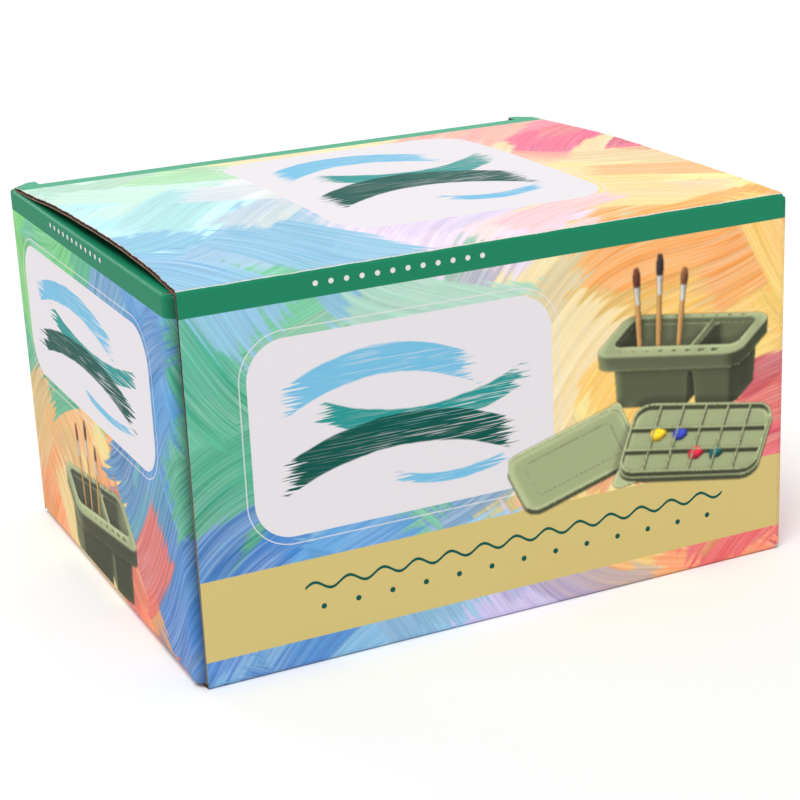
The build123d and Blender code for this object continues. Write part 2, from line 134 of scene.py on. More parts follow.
# Finer stretches of the walls' grids, for the printed pictures: from, to and step
FRONT_FINE_ACROSS = (0.0, 125 * MM, 0.5 * MM)
FRONT_FINE_UP = (32 * MM, 136 * MM, 0.5 * MM)
END_FINE_UP = (4 * MM, 74 * MM, 0.6 * MM)
# Run after which a straight stretch gets a point again in the board's inner layers
COARSE_RUN = 60.0 * MM
# Steps of the round folds: corners and bottom, the wide glued corner, and the bending creases
FOLD_STEPS = 7
GLUED_STEPS = 8
FRONT_CREASE_STEPS = 10
TUCK_CREASE_STEPS = 12
BOARD_CREASE = np.radians(40)


# Colours, written as they are seen

def linear(seen):
    """Seen colours, 0 to 255, as the linear colours that Blender reads."""
    seen = np.asarray(seen) / 255
    return np.where(seen <= 0.04045, seen / 12.92, ((seen + 0.055) / 1.055) ** 2.4)


BAND_GREEN = linear((26, 130, 94))
LID_BAND_GREEN = linear((84, 172, 136))
TAN = linear((212, 192, 122))
LABEL_WHITE = linear((230, 225, 229))
INK_GREEN = linear((0, 84, 74))
INK_TEAL = linear((40, 150, 146))
INK_BLUE = linear((118, 190, 224))
PAPER = linear((238, 232, 222))
# Tint of the painted shade that darkens the glued corner's round towards its seam
GLUED_CORNER_PAINTED_SHADE = (0.16, 0.20, 0.22)
KRAFT = linear((150, 118, 90))
MEDIUM_BROWN = linear((88, 69, 60))
TORN_BROWN = linear((214, 190, 178))
# Cut edge of the glued front wall: its dark top, ink with painted shade, and its own pale colour low down
GLUED_CUT_INK_AND_SHADE = linear((58, 70, 74))
GLUED_CUT_LOW = linear((150, 142, 126))
SAGE = linear((128, 134, 96))
PICTURE_SAGE = linear((146, 154, 116))


# Shader maths

class Value:
    """An output of a material's nodes that takes part in Python arithmetic."""

    def __init__(self, tree, socket):
        self.tree = tree
        self.socket = socket

    def math(self, operation, *others):
        node = self.tree.nodes.new("ShaderNodeMath")
        node.operation = operation
        for slot, value in zip(node.inputs, (self, *others)):
            self.feed(slot, value)
        return Value(self.tree, node.outputs[0])

    def feed(self, slot, value):
        if isinstance(value, Value):
            self.tree.links.new(value.socket, slot)
        else:
            slot.default_value = value

    def __add__(self, other):
        return self.math("ADD", other)

    def __sub__(self, other):
        return self.math("SUBTRACT", other)

    def __mul__(self, other):
        return self.math("MULTIPLY", other)

    def __truediv__(self, other):
        return self.math("DIVIDE", other)

    def __radd__(self, other):
        return self + other

    def __rmul__(self, other):
        return self * other

    def __rsub__(self, other):
        return self * -1.0 + other

    def size(self):
        return self.math("ABSOLUTE")

    def at_least(self, other):
        return self.math("MAXIMUM", other)

    def at_most(self, other):
        return self.math("MINIMUM", other)

    def power(self, other):
        return self.math("POWER", other)

    def rises(self, low, high):
        """0 below low, 1 above high, smooth between; low may be the larger."""
        node = self.tree.nodes.new("ShaderNodeMapRange")
        node.interpolation_type = "SMOOTHSTEP"
        for slot, value in zip(node.inputs, (self, low, high, 0.0, 1.0)):
            self.feed(slot, value)
        return Value(self.tree, node.outputs[0])

    def between(self, low, high, soft):
        """1 between two values, with soft edges."""
        return self.rises(low - soft, low + soft) * self.rises(high + soft, high - soft)


class Finish:
    """A material being built. node() makes a node, sets and feeds it, and gives its output or outputs."""

    def __init__(self, name):
        self.material = bpy.data.materials.new(name)
        self.material.use_nodes = True
        self.tree = self.material.node_tree
        self.tree.nodes.clear()

    def node(self, kind, settings=None, inputs=None, output=0):
        made = self.tree.nodes.new(kind)
        for key, value in (settings or {}).items():
            setattr(made, key, value)
        for key, value in (inputs or {}).items():
            slot = made.inputs[key]
            if isinstance(value, Value):
                self.tree.links.new(value.socket, slot)
            elif hasattr(slot.default_value, "__len__") and len(value) < len(slot.default_value):
                slot.default_value = (*value, 1.0)
            else:
                slot.default_value = value
        if isinstance(output, tuple):
            return [Value(self.tree, made.outputs[place]) for place in output]
        return Value(self.tree, made.outputs[output])

    def attribute(self, name, output="Color"):
        return self.node("ShaderNodeAttribute", {"attribute_name": name}, output=output)

    def split(self, vector):
        return self.node("ShaderNodeSeparateXYZ", inputs={"Vector": vector}, output=("X", "Y", "Z"))

    def join(self, x, y, z):
        return self.node("ShaderNodeCombineXYZ", inputs={"X": x, "Y": y, "Z": z})

    def place(self):
        return self.node("ShaderNodeTexCoord", output="Object")

    def noise(self, vector, scale, detail=2.0, roughness=0.5):
        inputs = {"Vector": vector, "Scale": scale, "Detail": detail, "Roughness": roughness}
        return self.node("ShaderNodeTexNoise", inputs=inputs)

    def mix(self, factor, first, second, blend="MIX"):
        """Mix of two colours: those are its sockets 6 and 7, and socket 2 of its outputs."""
        return self.node("ShaderNodeMix", {"data_type": "RGBA", "blend_type": blend},
                         {0: factor, 6: first, 7: second}, 2)

    def bump(self, height, distance, strength=1.0):
        return self.node("ShaderNodeBump", inputs={"Height": height, "Distance": distance,
                                                   "Strength": strength})

    def surface(self, inputs):
        shader = self.node("ShaderNodeBsdfPrincipled", inputs=inputs)
        out = self.tree.nodes.new("ShaderNodeOutputMaterial")
        self.tree.links.new(shader.socket, out.inputs[0])
        return self.material


# The painted ground: strokes on the flat sheet

# Where the paint of each colour lies on the sheet, in millimetres, with its seen colour
PALETTE = [
    # Front panel
    ((-112, 20), (70, 140, 205)), ((-95, 55), (96, 168, 220)), ((-118, 95), (84, 188, 150)),
    ((-80, 118), (120, 205, 165)), ((-35, 128), (176, 220, 196)), ((-30, 20), (150, 196, 228)),
    ((10, 40), (250, 224, 150)), ((30, 122), (250, 232, 180)), ((20, 5), (200, 190, 226)),
    ((60, 100), (250, 206, 110)), ((95, 128), (246, 182, 96)), ((115, 100), (248, 214, 120)),
    ((70, 60), (248, 190, 140)), ((100, 60), (238, 130, 120)), ((118, 40), (222, 78, 112)),
    ((70, 12), (244, 170, 110)), ((112, 8), (232, 96, 104)), ((48, 8), (250, 220, 130)),
    # Left end, from the front corner to the rear
    ((-150, 125), (86, 160, 214)), ((-160, 60), (110, 190, 205)), ((-175, 20), (240, 120, 110)),
    ((-205, 15), (248, 170, 96)), ((-190, 138), (120, 180, 224)), ((-240, 130), (96, 190, 150)),
    ((-300, 120), (120, 200, 120)), ((-320, 85), (90, 180, 140)), ((-325, 40), (250, 214, 140)),
    ((-290, 30), (248, 190, 120)), ((-250, 25), (250, 222, 150)), ((-315, 10), (242, 160, 90)),
    ((-160, 95), (80, 150, 200)),
    # Lid, from the front fold to the rear
    ((-105, 190), (150, 205, 232)), ((-110, 240), (190, 232, 240)), ((-100, 300), (206, 240, 224)),
    ((-70, 330), (190, 234, 190)), ((-60, 215), (178, 214, 236)), ((-10, 165), (226, 214, 238)),
    ((40, 170), (250, 214, 214)), ((100, 180), (252, 226, 160)), ((110, 215), (252, 196, 140)),
    ((100, 260), (252, 226, 176)), ((110, 310), (246, 150, 160)), ((80, 335), (250, 190, 170)),
    ((20, 340), (252, 236, 190)), ((115, 280), (240, 120, 150)), ((-20, 250), (236, 240, 240)),
    # Right end and rear panel
    ((150, 120), (250, 200, 110)), ((160, 30), (236, 110, 110)), ((210, 70), (250, 190, 150)),
    ((260, 20), (248, 214, 140)), ((270, 120), (244, 150, 130)), ((320, 80), (216, 90, 130)),
    ((370, 30), (244, 160, 110)), ((400, 120), (250, 214, 120)), ((450, 60), (200, 200, 232)),
    ((490, 120), (120, 190, 224)), ((520, 30), (90, 190, 160)), ((570, 80), (84, 156, 210)),
]
PALETTE_REACH = 15.0
BARE_PAPER = (240, 236, 228)

# Regions of the sheet that get paint, in millimetres: low u, high u, low v, high v
PAINTED = [(-345.0, 600.0, -12.0, 160.0), (-140.0, 140.0, 145.0, 385.0)]

# Layers of strokes: spacing along and across, length, width, share kept
STROKE_LAYERS = [
    (44.0, 24.0, 128.0, 58.0, 1.0),
    (40.0, 22.0, 96.0, 42.0, 0.90),
    (34.0, 18.0, 62.0, 26.0, 0.30),
    (30.0, 16.0, 34.0, 9.0, 0.09),
]

# How a stroke covers: its bristles' rate per millimetre, how far they fray its sides and ends, the
# millimetres in which those fade, and its opacity
BRISTLE_RATE = 0.42
SIDE_FRAY, END_FRAY = 0.14, 0.20
SIDE_FADE, END_FADE = 4.4, 9.0
OPACITY = 0.93

# The two ways in which the brush sweeps over the sheet: lean in degrees, then waves, each with the
# height, the length along u and along v, and the start of a sine, in millimetres
SWEEPS = [
    (33.0, ((10.0, 31.0, 44.0, 0.5), (4.0, -19.0, 27.0, 1.9))),
    (-38.0, ((11.0, -37.0, 33.0, 2.2), (4.5, 21.0, 24.0, 0.3))),
]


def sweep(u, v, way):
    """Distance across the brush's sweep, in millimetres: a leaning plane bent by sine waves.

    Lines of one value are the tracks of single bristles.
    """
    lean, waves = SWEEPS[way]
    across = v * np.cos(np.radians(lean)) - u * np.sin(np.radians(lean))
    for height, length_u, length_v, start in waves:
        across = across + height * np.sin(u / length_u + v / length_v + start)
    return across


def plan_strokes(rng):
    """Strokes on a jittered grid: place, heading, curl, size, sweep and two colours each, big ones first."""
    spots = np.array([spot for spot, colour in PALETTE], float)
    seen = np.array([colour for spot, colour in PALETTE], float)
    planned = []
    for along, across, length, width, share in STROKE_LAYERS:
        for low_u, high_u, low_v, high_v in PAINTED:
            u, v = np.meshgrid(np.arange(low_u, high_u, along), np.arange(low_v, high_v, across))
            u = u.ravel() + rng.uniform(-0.5, 0.5, u.size) * along
            v = v.ravel() + rng.uniform(-0.5, 0.5, v.size) * across
            order = rng.permutation(u.size)[: int(share * u.size)]
            u, v = u[order], v[order]
            way = (rng.uniform(0, 1, u.size) < 0.5 + 0.45 * np.sin(u / 43 + v / 37)).astype(int)
            slopes = [(sweep(u, v + 1, k) - sweep(u, v - 1, k), sweep(u - 1, v, k) - sweep(u + 1, v, k))
                      for k in range(2)]
            heading = np.arctan2(*[np.where(way == 1, slopes[1][k], slopes[0][k]) for k in (1, 0)])
            nearness = np.exp(-((u[:, None] - spots[:, 0]) ** 2 + (v[:, None] - spots[:, 1]) ** 2)
                              / (2 * PALETTE_REACH ** 2)) + 1e-9
            chance = np.cumsum(nearness, axis=1) / nearness.sum(axis=1, keepdims=True)
            picks = [(chance < rng.uniform(0, 1, (u.size, 1))).sum(axis=1) for side in range(2)]
            light = rng.normal(1.0, 0.04, (u.size, 1))
            first, second = (seen[pick] * light + rng.normal(0, 3, (u.size, 3)) for pick in picks)
            colours = np.clip([first, 0.5 * (first + second)], 0, 255)
            sizes = rng.uniform(0.75, 1.3, (u.size, 2)) * (length, width)
            curl = rng.normal(0, 0.0022, u.size)
            planned.append(np.column_stack([u, v, heading, curl, sizes, way, *colours]))
    return np.vstack(planned)


def ripple(x):
    """Uneven waves across a brush: a sum of sines that never repeat together."""
    return (np.sin(x * 1.9) + np.sin(x * 3.1 + 1.3) + np.sin(x * 5.3 + 0.7)) / 3


def paint(u, v, strokes):
    """Colours of the ground at sheet places u, v in millimetres, and which sweep the brush followed.

    A stroke covers a place by its distance from the stroke's bent middle line, with bristles that run
    out unevenly at the ends. Later strokes cover earlier ones. Rows of the grid may run along u or v.
    """
    if np.ptp(u[0]) > np.ptp(u[:, 0]):
        colours, ways = paint(u.T, v.T, strokes)
        return colours.transpose(1, 0, 2), ways.T
    seen = np.empty((*u.shape, 3))
    seen[:] = BARE_PAPER
    ways = np.zeros(u.shape)
    low_u, high_u = u.min(axis=1), u.max(axis=1)
    low_v, high_v = v.min(axis=0), v.max(axis=0)
    for cu, cv, heading, curl, length, width, way, *two in strokes:
        reach = length / 2 + width / 2
        rows = np.flatnonzero((high_u > cu - reach) & (low_u < cu + reach))
        cols = np.flatnonzero((high_v > cv - reach) & (low_v < cv + reach))
        if not rows.size or not cols.size:
            continue
        part = np.s_[rows[0]:rows[-1] + 1, cols[0]:cols[-1] + 1]
        du, dv = u[part] - cu, v[part] - cv
        along = du * np.cos(heading) + dv * np.sin(heading)
        across = dv * np.cos(heading) - du * np.sin(heading) - curl * along ** 2
        bristle = ripple(sweep(u[part], v[part], int(way)) * BRISTLE_RATE)
        side = 1 - np.abs(across) / (width / 2) + SIDE_FRAY * bristle
        end = 1 - np.abs(along) / (length / 2) + END_FRAY * bristle
        cover = np.clip(side * width / SIDE_FADE, 0, 1) * np.clip(end * length / END_FADE, 0, 1)
        cover = OPACITY * cover * cover * (3 - 2 * cover)
        blend = np.clip(0.5 + 1.1 * across / width + 0.30 * bristle, 0, 1)[..., None]
        colour = np.array(two[:3]) * (1 - blend) + np.array(two[3:]) * blend
        ridge = np.clip(1 - side * width / 6.0, 0, 1) * np.clip(end * 3, 0, 1)
        colour = colour * (1 + 0.035 * bristle + 0.05 * np.sign(across) * ridge)[..., None]
        seen[part] = seen[part] * (1 - cover[..., None]) + colour * cover[..., None]
        ways[part] = ways[part] * (1 - cover) + way * cover
    return linear(np.clip(seen, 0, 255)), ways


STROKES = plan_strokes(np.random.default_rng(41))


# The printed picture of the organizer, drawn from the moulded pieces themselves

PICTURE_DOT = 0.25
PICTURE_LAMP = np.array([-0.38, -0.42, 0.82])
PICTURE_SHINE = np.array([0.10, -0.72, 0.69])
PICTURE_AMBIENT = 0.17
PICTURE_DIRECT = 1.08
SHINE_POWER = 14
# Filling of the picture's triangles: points per dot, and how many are worked on at once
POINTS_PER_DOT = 1.6
POINTS_AT_ONCE = 400000
# Darkening and lightening of the picture's dots: reach in dots, gain per millimetre of depth, and limit
PICTURE_RELIEF = ((3, 0.16, 0.22), (14, 0.035, 0.30))
BRUSH_WOOD = (0.62, 0.33, 0.11)
BRUSH_METAL = (0.70, 0.68, 0.64)
BRUSH_TIPS = [(0.16, 0.05, 0.03), (0.05, 0.04, 0.04), (0.25, 0.10, 0.05)]
# Dabs of paint in the palette's wells: place across and along, radius, and colour
PAINT_DABS = [(-66, 18, 13, (0.80, 0.52, 0.02)), (-30, 18, 12, (0.04, 0.06, 0.42)),
              (6, -20, 13, (0.55, 0.02, 0.05)), (40, -20, 12, (0.01, 0.10, 0.10))]

# Each printed picture: sheet place of its middle and its size, in millimetres
FRONT_PICTURE = dict(middle=(62.0, 84.0), size=(124.0, 104.0))
END_PICTURE = dict(middle=(-236.0, 35.0), size=(120.0, 70.0))


def triangles_of(node):
    """Corner points of a CAD node's triangles, as an array of n by 3 by 3, in millimetres."""
    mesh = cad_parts[node].data
    mesh.calc_loop_triangles()
    corners = np.empty(len(mesh.loop_triangles) * 3, np.int32)
    mesh.loop_triangles.foreach_get("vertices", corners)
    points = np.empty(len(mesh.vertices) * 3)
    mesh.vertices.foreach_get("co", points)
    return points.reshape(-1, 3)[corners].reshape(-1, 3, 3) / MM


def turned(points, yaw, pitch):
    """Points turned about Z by yaw, then about X by pitch, in degrees."""
    rotation = Matrix.Rotation(np.radians(pitch), 3, "X") @ Matrix.Rotation(np.radians(yaw), 3, "Z")
    return points @ np.array(rotation).T


def posed(node, place, yaw, pitch, scale):
    """A node's triangles about their own middle, turned, scaled and set at a place of the picture."""
    triangles = triangles_of(node)
    low, high = triangles.min(axis=(0, 1)), triangles.max(axis=(0, 1))
    return turned(triangles - (low + high) / 2, yaw, pitch) * scale + np.array(place)


def panes(grid):
    """Triangles of a grid of points, two to each cell."""
    a, b, c, d = grid[:-1, :-1], grid[1:, :-1], grid[1:, 1:], grid[:-1, 1:]
    return np.concatenate([np.stack([a, b, c], -2), np.stack([a, c, d], -2)]).reshape(-1, 3, 3)


def rod(start, end, radii, sides=8):
    """Triangles of a round rod from start to end, with a radius at each of its even stations."""
    start, end = np.array(start, float), np.array(end, float)
    axis = (end - start) / np.linalg.norm(end - start)
    first = np.cross(axis, (0.3, 1.0, 0.2))
    first /= np.linalg.norm(first)
    second = np.cross(axis, first)
    turn = np.linspace(0, 2 * np.pi, sides + 1)
    ring = np.cos(turn)[:, None] * first + np.sin(turn)[:, None] * second
    stations = np.linspace(0, 1, len(radii))[:, None, None]
    return panes(start + stations * (end - start) + np.array(radii)[:, None, None] * ring)


def dab(radius, height):
    """Triangles of a low dab of paint: a flattened half ball whose radius wavers round its rim."""
    turn = np.linspace(0, 2 * np.pi, 13)[:, None]
    rise = np.linspace(0, np.pi / 2, 5)
    wobble = 1 + 0.09 * np.sin(3 * turn + 1) + 0.07 * np.sin(5 * turn)
    grid = np.stack([np.cos(turn) * np.cos(rise) * radius * wobble,
                     np.sin(turn) * np.cos(rise) * radius * wobble,
                     np.sin(rise) * height * np.ones_like(turn)], -1)
    return panes(grid)


def draw(shapes, size):
    """Image of coloured triangle groups seen along +Y: x to the right, z up, nearest first.

    Each triangle is filled with points on its own grid, as many as its size asks for, and the nearest
    point of each dot wins. Dots that stand behind their surroundings are darkened and those that stand
    before them lightened, at two scales. Returns colour and cover, dots along x by dots along z.
    """
    count = [int(round(side / PICTURE_DOT)) for side in size]
    nearest = np.full(count[0] * count[1], np.inf)
    image = np.zeros((count[0] * count[1], 4))
    for triangles, colour, gloss in shapes:
        edge = triangles - np.roll(triangles, 1, axis=1)
        normal = np.cross(edge[:, 0], edge[:, 1])
        normal /= np.linalg.norm(normal, axis=1, keepdims=True) + 1e-12
        normal *= np.where(normal[:, 1:2] > 0, -1, 1)
        lamp = np.clip(normal @ PICTURE_LAMP, 0, 1)
        shine = np.clip(normal @ PICTURE_SHINE, 0, 1) ** SHINE_POWER
        shade = PICTURE_AMBIENT + PICTURE_DIRECT * lamp + gloss * shine
        longest = np.abs(edge[..., [0, 2]]).max(axis=(1, 2))
        steps = 2 ** np.ceil(np.log2(np.maximum(longest / PICTURE_DOT * POINTS_PER_DOT, 1))).astype(int)
        for step in np.unique(steps):
            chosen = np.flatnonzero(steps == step)
            first, second = np.meshgrid(np.arange(step + 1), np.arange(step + 1), indexing="ij")
            inside = first + second <= step
            first, second = first[inside] / step, second[inside] / step
            for block in np.array_split(chosen, max(1, len(chosen) * len(first) // POINTS_AT_ONCE)):
                a, b, c = (triangles[block, k, None] for k in range(3))
                points = a + first[:, None] * (b - a) + second[:, None] * (c - a)
                dots = np.floor((points[..., [0, 2]] + np.array(size) / 2) / PICTURE_DOT).astype(int)
                valid = (dots >= 0).all(-1) & (dots < count).all(-1)
                index = (dots[..., 0] * count[1] + dots[..., 1])[valid]
                depth = points[..., 1][valid]
                tone = np.broadcast_to(shade[block, None], valid.shape)[valid]
                order = np.argsort(-depth, kind="stable")
                index, depth, tone = index[order], depth[order], tone[order]
                closest = np.full(nearest.shape, np.inf)
                closest[index] = depth
                value = np.zeros(nearest.shape)
                value[index] = tone
                wins = closest < nearest
                nearest[wins] = closest[wins]
                image[wins, :3] = np.array(colour) * value[wins, None]
                image[wins, 3] = 1
    image, depth = image.reshape(*count, 4), nearest.reshape(count)
    covered = np.isfinite(depth)
    depth = np.where(covered, depth, depth[covered].max())
    relief = np.ones_like(depth)
    for reach, give, most in PICTURE_RELIEF:
        ahead = blurred(depth, reach) - depth
        relief *= 1 + np.clip(ahead * give, -most, most)
    image[..., :3] *= relief[..., None]
    return soften(image)


def blurred(values, reach):
    """Each dot's mean over a square, reach dots to every side."""
    for turn in range(2):
        padded = np.pad(values, ((reach + 1, reach), (0, 0)), mode="edge")
        total = np.cumsum(padded, axis=0)
        values = ((total[2 * reach + 1:] - total[:-2 * reach - 1]) / (2 * reach + 1)).T
    return values


def soften(image):
    """Each dot averaged with its eight neighbours, so that outlines step gently."""
    padded = np.pad(image, ((1, 1), (1, 1), (0, 0)), mode="edge")
    return sum(padded[i:i + image.shape[0], j:j + image.shape[1]]
               for i in range(3) for j in range(3)) / 9


def standing_brushes(feet, lengths, leans):
    """Plain wooden brushes that stand in the tub, each with a handle, a ferrule and a tip."""
    parts = []
    for foot, length, lean, tip_colour in zip(feet, lengths, leans, BRUSH_TIPS):
        foot = np.array(foot, float)
        reach = np.array([lean * length, 0, length])
        for low, high, radii, colour in ((0.0, 0.62, [0.8, 1.0, 1.15, 1.0], BRUSH_WOOD),
                                         (0.62, 0.80, [1.0, 1.1, 1.4], BRUSH_METAL),
                                         (0.80, 1.0, [1.4, 1.7, 1.6, 0.9], tip_colour)):
            parts.append((rod(foot + low * reach, foot + high * reach, radii), colour, 0.6))
    return parts


def front_shapes():
    """The tub with brushes in it, the palette before it with dabs of paint, and the cover beside them."""
    green = tuple(PICTURE_SAGE)
    pitch, yaw, place, scale = 44.0, -14.0, (23.0, -40.0, -30.0), 0.29
    shapes = [(posed("tub", (18, 30, 4), -22, 21, 0.315), green, 0.25),
              (posed("palette", place, yaw, pitch, scale), green, 0.25),
              (posed("cover", (-32, 0, -25), 20, 50, 0.235), green, 0.25)]
    for across, along, radius, colour in PAINT_DABS:
        spot = turned(np.array([[across, along, 2.0]]), yaw, pitch)[0] * scale + np.array(place)
        shapes.append((turned(dab(radius * scale, 6 * scale), yaw, pitch) + spot, colour, 0.9))
    feet = [(-2, 27, 8), (6, 27, 8), (15, 27, 9)]
    return shapes + standing_brushes(feet, (38, 42, 34), (-0.05, 0.02, 0.09))


def end_shapes():
    """The tub alone, with brushes standing in it."""
    return [(posed("tub", (0, 30, -14), 18, 22, 0.38), tuple(PICTURE_SAGE), 0.25),
            *standing_brushes([(-20, 27, -8), (-11, 27, -8), (-1, 27, -8)], (36, 41, 34), (-0.12, 0.0, 0.06))]


def picture(u, v, image, middle, size):
    """Linear colour and cover of a printed picture at sheet places u, v in millimetres."""
    dots = [(value - centre + side / 2) / PICTURE_DOT - 0.5
            for value, centre, side in zip((u, v), middle, size)]
    base = [np.clip(np.floor(dot).astype(int), 0, count - 2) for dot, count in zip(dots, image.shape)]
    part = [np.clip(dot - start, 0, 1)[..., None] for dot, start in zip(dots, base)]
    i, j = base
    low = image[i, j] * (1 - part[0]) + image[i + 1, j] * part[0]
    high = image[i, j + 1] * (1 - part[0]) + image[i + 1, j + 1] * part[0]
    value = low * (1 - part[1]) + high * part[1]
    outside = (np.abs(u - middle[0]) > size[0] / 2 - 1) | (np.abs(v - middle[1]) > size[1] / 2 - 1)
    value[outside] = 0
    return value


# Board: printed liner, fluted medium, inner liner

def line(start, end, normal, step=PRINT_STEP):
    """Even points along a straight run of a fold path, with the run's outward normal at each."""
    count = max(1, int(np.ceil(np.linalg.norm(np.subtract(end, start)) / step)))
    return np.linspace(start, end, count + 1), np.tile(np.array(normal, float), (count + 1, 1))


def upright(y, heights, outward):
    """Path of a wall that stands at y: its points at the given heights, normals along Y, and lengths."""
    points = np.stack([np.full_like(heights, y), heights], -1)
    return points, np.tile((float(outward), 0.0), (len(heights), 1)), heights - heights[0]


def arc(centre, radius, start, end, steps=FOLD_STEPS):
    """Points and outward normals along a round fold, between two directions in degrees."""
    turn = np.radians(np.linspace(start, end, steps + 1))
    normals = np.stack([np.cos(turn), np.sin(turn)], -1)
    return np.array(centre) + radius * normals, normals


def ridge(centre, radius, sideways, power=SHOULDER_POWER, steps=16):
    """Points and outward normals of a squared quarter fold: |x|^power + |z|^power = radius^power.

    It runs from beside its centre, on the side that sideways gives, up to above it.
    """
    turn = np.linspace(0, np.pi / 2, steps + 1)
    across, up = np.cos(turn) ** (2 / power), np.sin(turn) ** (2 / power)
    normals = np.stack([across ** (power - 1), up ** (power - 1)], -1)
    normals /= np.linalg.norm(normals, axis=1, keepdims=True)
    flip = np.array([sideways, 1.0])
    return np.array(centre) + radius * np.stack([across, up], -1) * flip, normals * flip


def trace(*runs):
    """One path from runs that follow on: points, outward normals and length so far."""
    points = np.vstack([runs[0][0]] + [run[0][1:] for run in runs[1:]])
    normals = np.vstack([runs[0][1]] + [run[1][1:] for run in runs[1:]])
    steps = np.linalg.norm(np.diff(points, axis=0), axis=1)
    return points, normals, np.concatenate([[0], np.cumsum(steps)])


def picked(path):
    """The same path with few points: those of its folds, and the ends of its straight runs.

    A point stays where the normal turns on either side of it, where another coarse run has passed, or
    next to such a point.
    """
    points, normals, length = path
    bend = np.linalg.norm(np.diff(normals, axis=0), axis=1) > 1e-6
    near = np.concatenate([[True], bend]) | np.concatenate([bend, [True]])
    stays = near | np.roll(near, 1) | np.roll(near, -1)
    stays |= np.diff(np.floor(length / COARSE_RUN), prepend=-1) > 0
    return tuple(part[stays] for part in path)


def spaced(low, high, step, fine=None):
    """Fractions of a side from low to high, a step apart, or closer inside the fine stretch."""
    stops = [low, high]
    if fine:
        stops = [low, *[stop for stop in fine[:2] if low < stop < high], high]
    marks = [low]
    for start, end in zip(stops[:-1], stops[1:]):
        inside = fine and fine[0] <= (start + end) / 2 <= fine[1]
        count = max(1, int(np.ceil((end - start) / (fine[2] if inside else step))))
        marks += list(np.linspace(start, end, count + 1)[1:])
    return (np.array(marks) - low) / (high - low)


def ragged(length, depth, start):
    """Unevenness of a cut edge along its length: a sum of sines of a few millimetres and less."""
    mm = length / MM
    wave = (np.sin(mm * 0.83 + start) + np.sin(mm * 0.37 + 2.1 * start) + 0.7 * np.sin(mm * 2.3 + start)
            + 0.5 * np.sin(mm * 5.1 + 3 * start))
    return -depth * (1 + wave / 3.2) / 2


def extruded(path, axis, low, high, fractions, depth):
    """Surface of a path carried along an axis, sunk by a depth against its normals.

    low and high bound the carry at each path point. Axis "x" carries a path in Y and Z, "y" one in X
    and Z, "z" one in X and Y. Returns points, path by carry, and the carry coordinate.
    """
    points, normals, length = path
    low = np.broadcast_to(low, length.shape)[:, None]
    high = np.broadcast_to(high, length.shape)[:, None]
    carry = low + np.asarray(fractions)[None] * (high - low)
    sunk = points[:, None] - np.asarray(depth)[..., None] * normals[:, None]
    sunk = np.broadcast_to(sunk, (*carry.shape, 2))
    order = {"x": (carry, sunk[..., 0], sunk[..., 1]), "y": (sunk[..., 0], carry, sunk[..., 1]),
             "z": (sunk[..., 0], sunk[..., 1], carry)}[axis]
    return np.stack(order, -1), carry


# Attributes of the print on a mesh's points: width, kind and field
LAYERS = {"sheet": (3, "FLOAT_VECTOR", "vector"), "paint": (4, "FLOAT_COLOR", "color"),
          "brush": (3, "FLOAT_VECTOR", "vector"), "picture": (4, "FLOAT_COLOR", "color")}


class Sheet:
    """A mesh under construction, with the print's attributes on its points."""

    def __init__(self, name):
        self.name = name
        self.points, self.quads, self.finishes = [], [], []
        self.wide, self.wide_finishes = [], []
        self.layers = {key: [] for key in LAYERS}
        self.count = 0

    def add(self, closed, top, rest, layers=None):
        """A closed shell, the slot number of its outer grid, that of its other faces, and its layers."""
        points, quads, wide, dense = closed
        self.points.append(points)
        self.quads.append(quads + self.count)
        self.wide += [(face + self.count).tolist() for face in wide]
        self.finishes.append(np.where(np.arange(len(quads)) < dense, top, rest))
        self.wide_finishes += [rest] * len(wide)
        for key, (width, kind, field) in LAYERS.items():
            values = np.zeros((len(points), width))
            if layers and key in layers:
                values[:len(layers[key])] = layers[key]
            self.layers[key].append(values)
        self.count += len(points)

    def warp(self, shift):
        """Moves every point by what shift gives for its x, y and z."""
        self.points = [points + shift(*points.T) for points in self.points]

    def finish(self, materials, body, node):
        """The object, riding on its body and standing for its node, with the slot of its finish."""
        mesh = bpy.data.meshes.new(self.name)
        mesh.from_pydata(np.vstack(self.points), [], np.vstack(self.quads).tolist() + self.wide)
        for material in materials:
            mesh.materials.append(material)
        mesh.polygons.foreach_set("material_index", np.concatenate([*self.finishes, self.wide_finishes]))
        for key, (width, kind, field) in LAYERS.items():
            values = np.vstack(self.layers[key]).astype(np.float32)
            layer = mesh.attributes.new(key, kind, "POINT")
            layer.data.foreach_set(field, values.ravel())
        mesh.shade_smooth()
        mesh.set_sharp_from_angle(angle=BOARD_CREASE)
        piece = bpy.data.objects.new(self.name, mesh)
        bpy.context.scene.collection.objects.link(piece)
        if body:
            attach(piece, body)
        if node:
            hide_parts(node)
        return piece


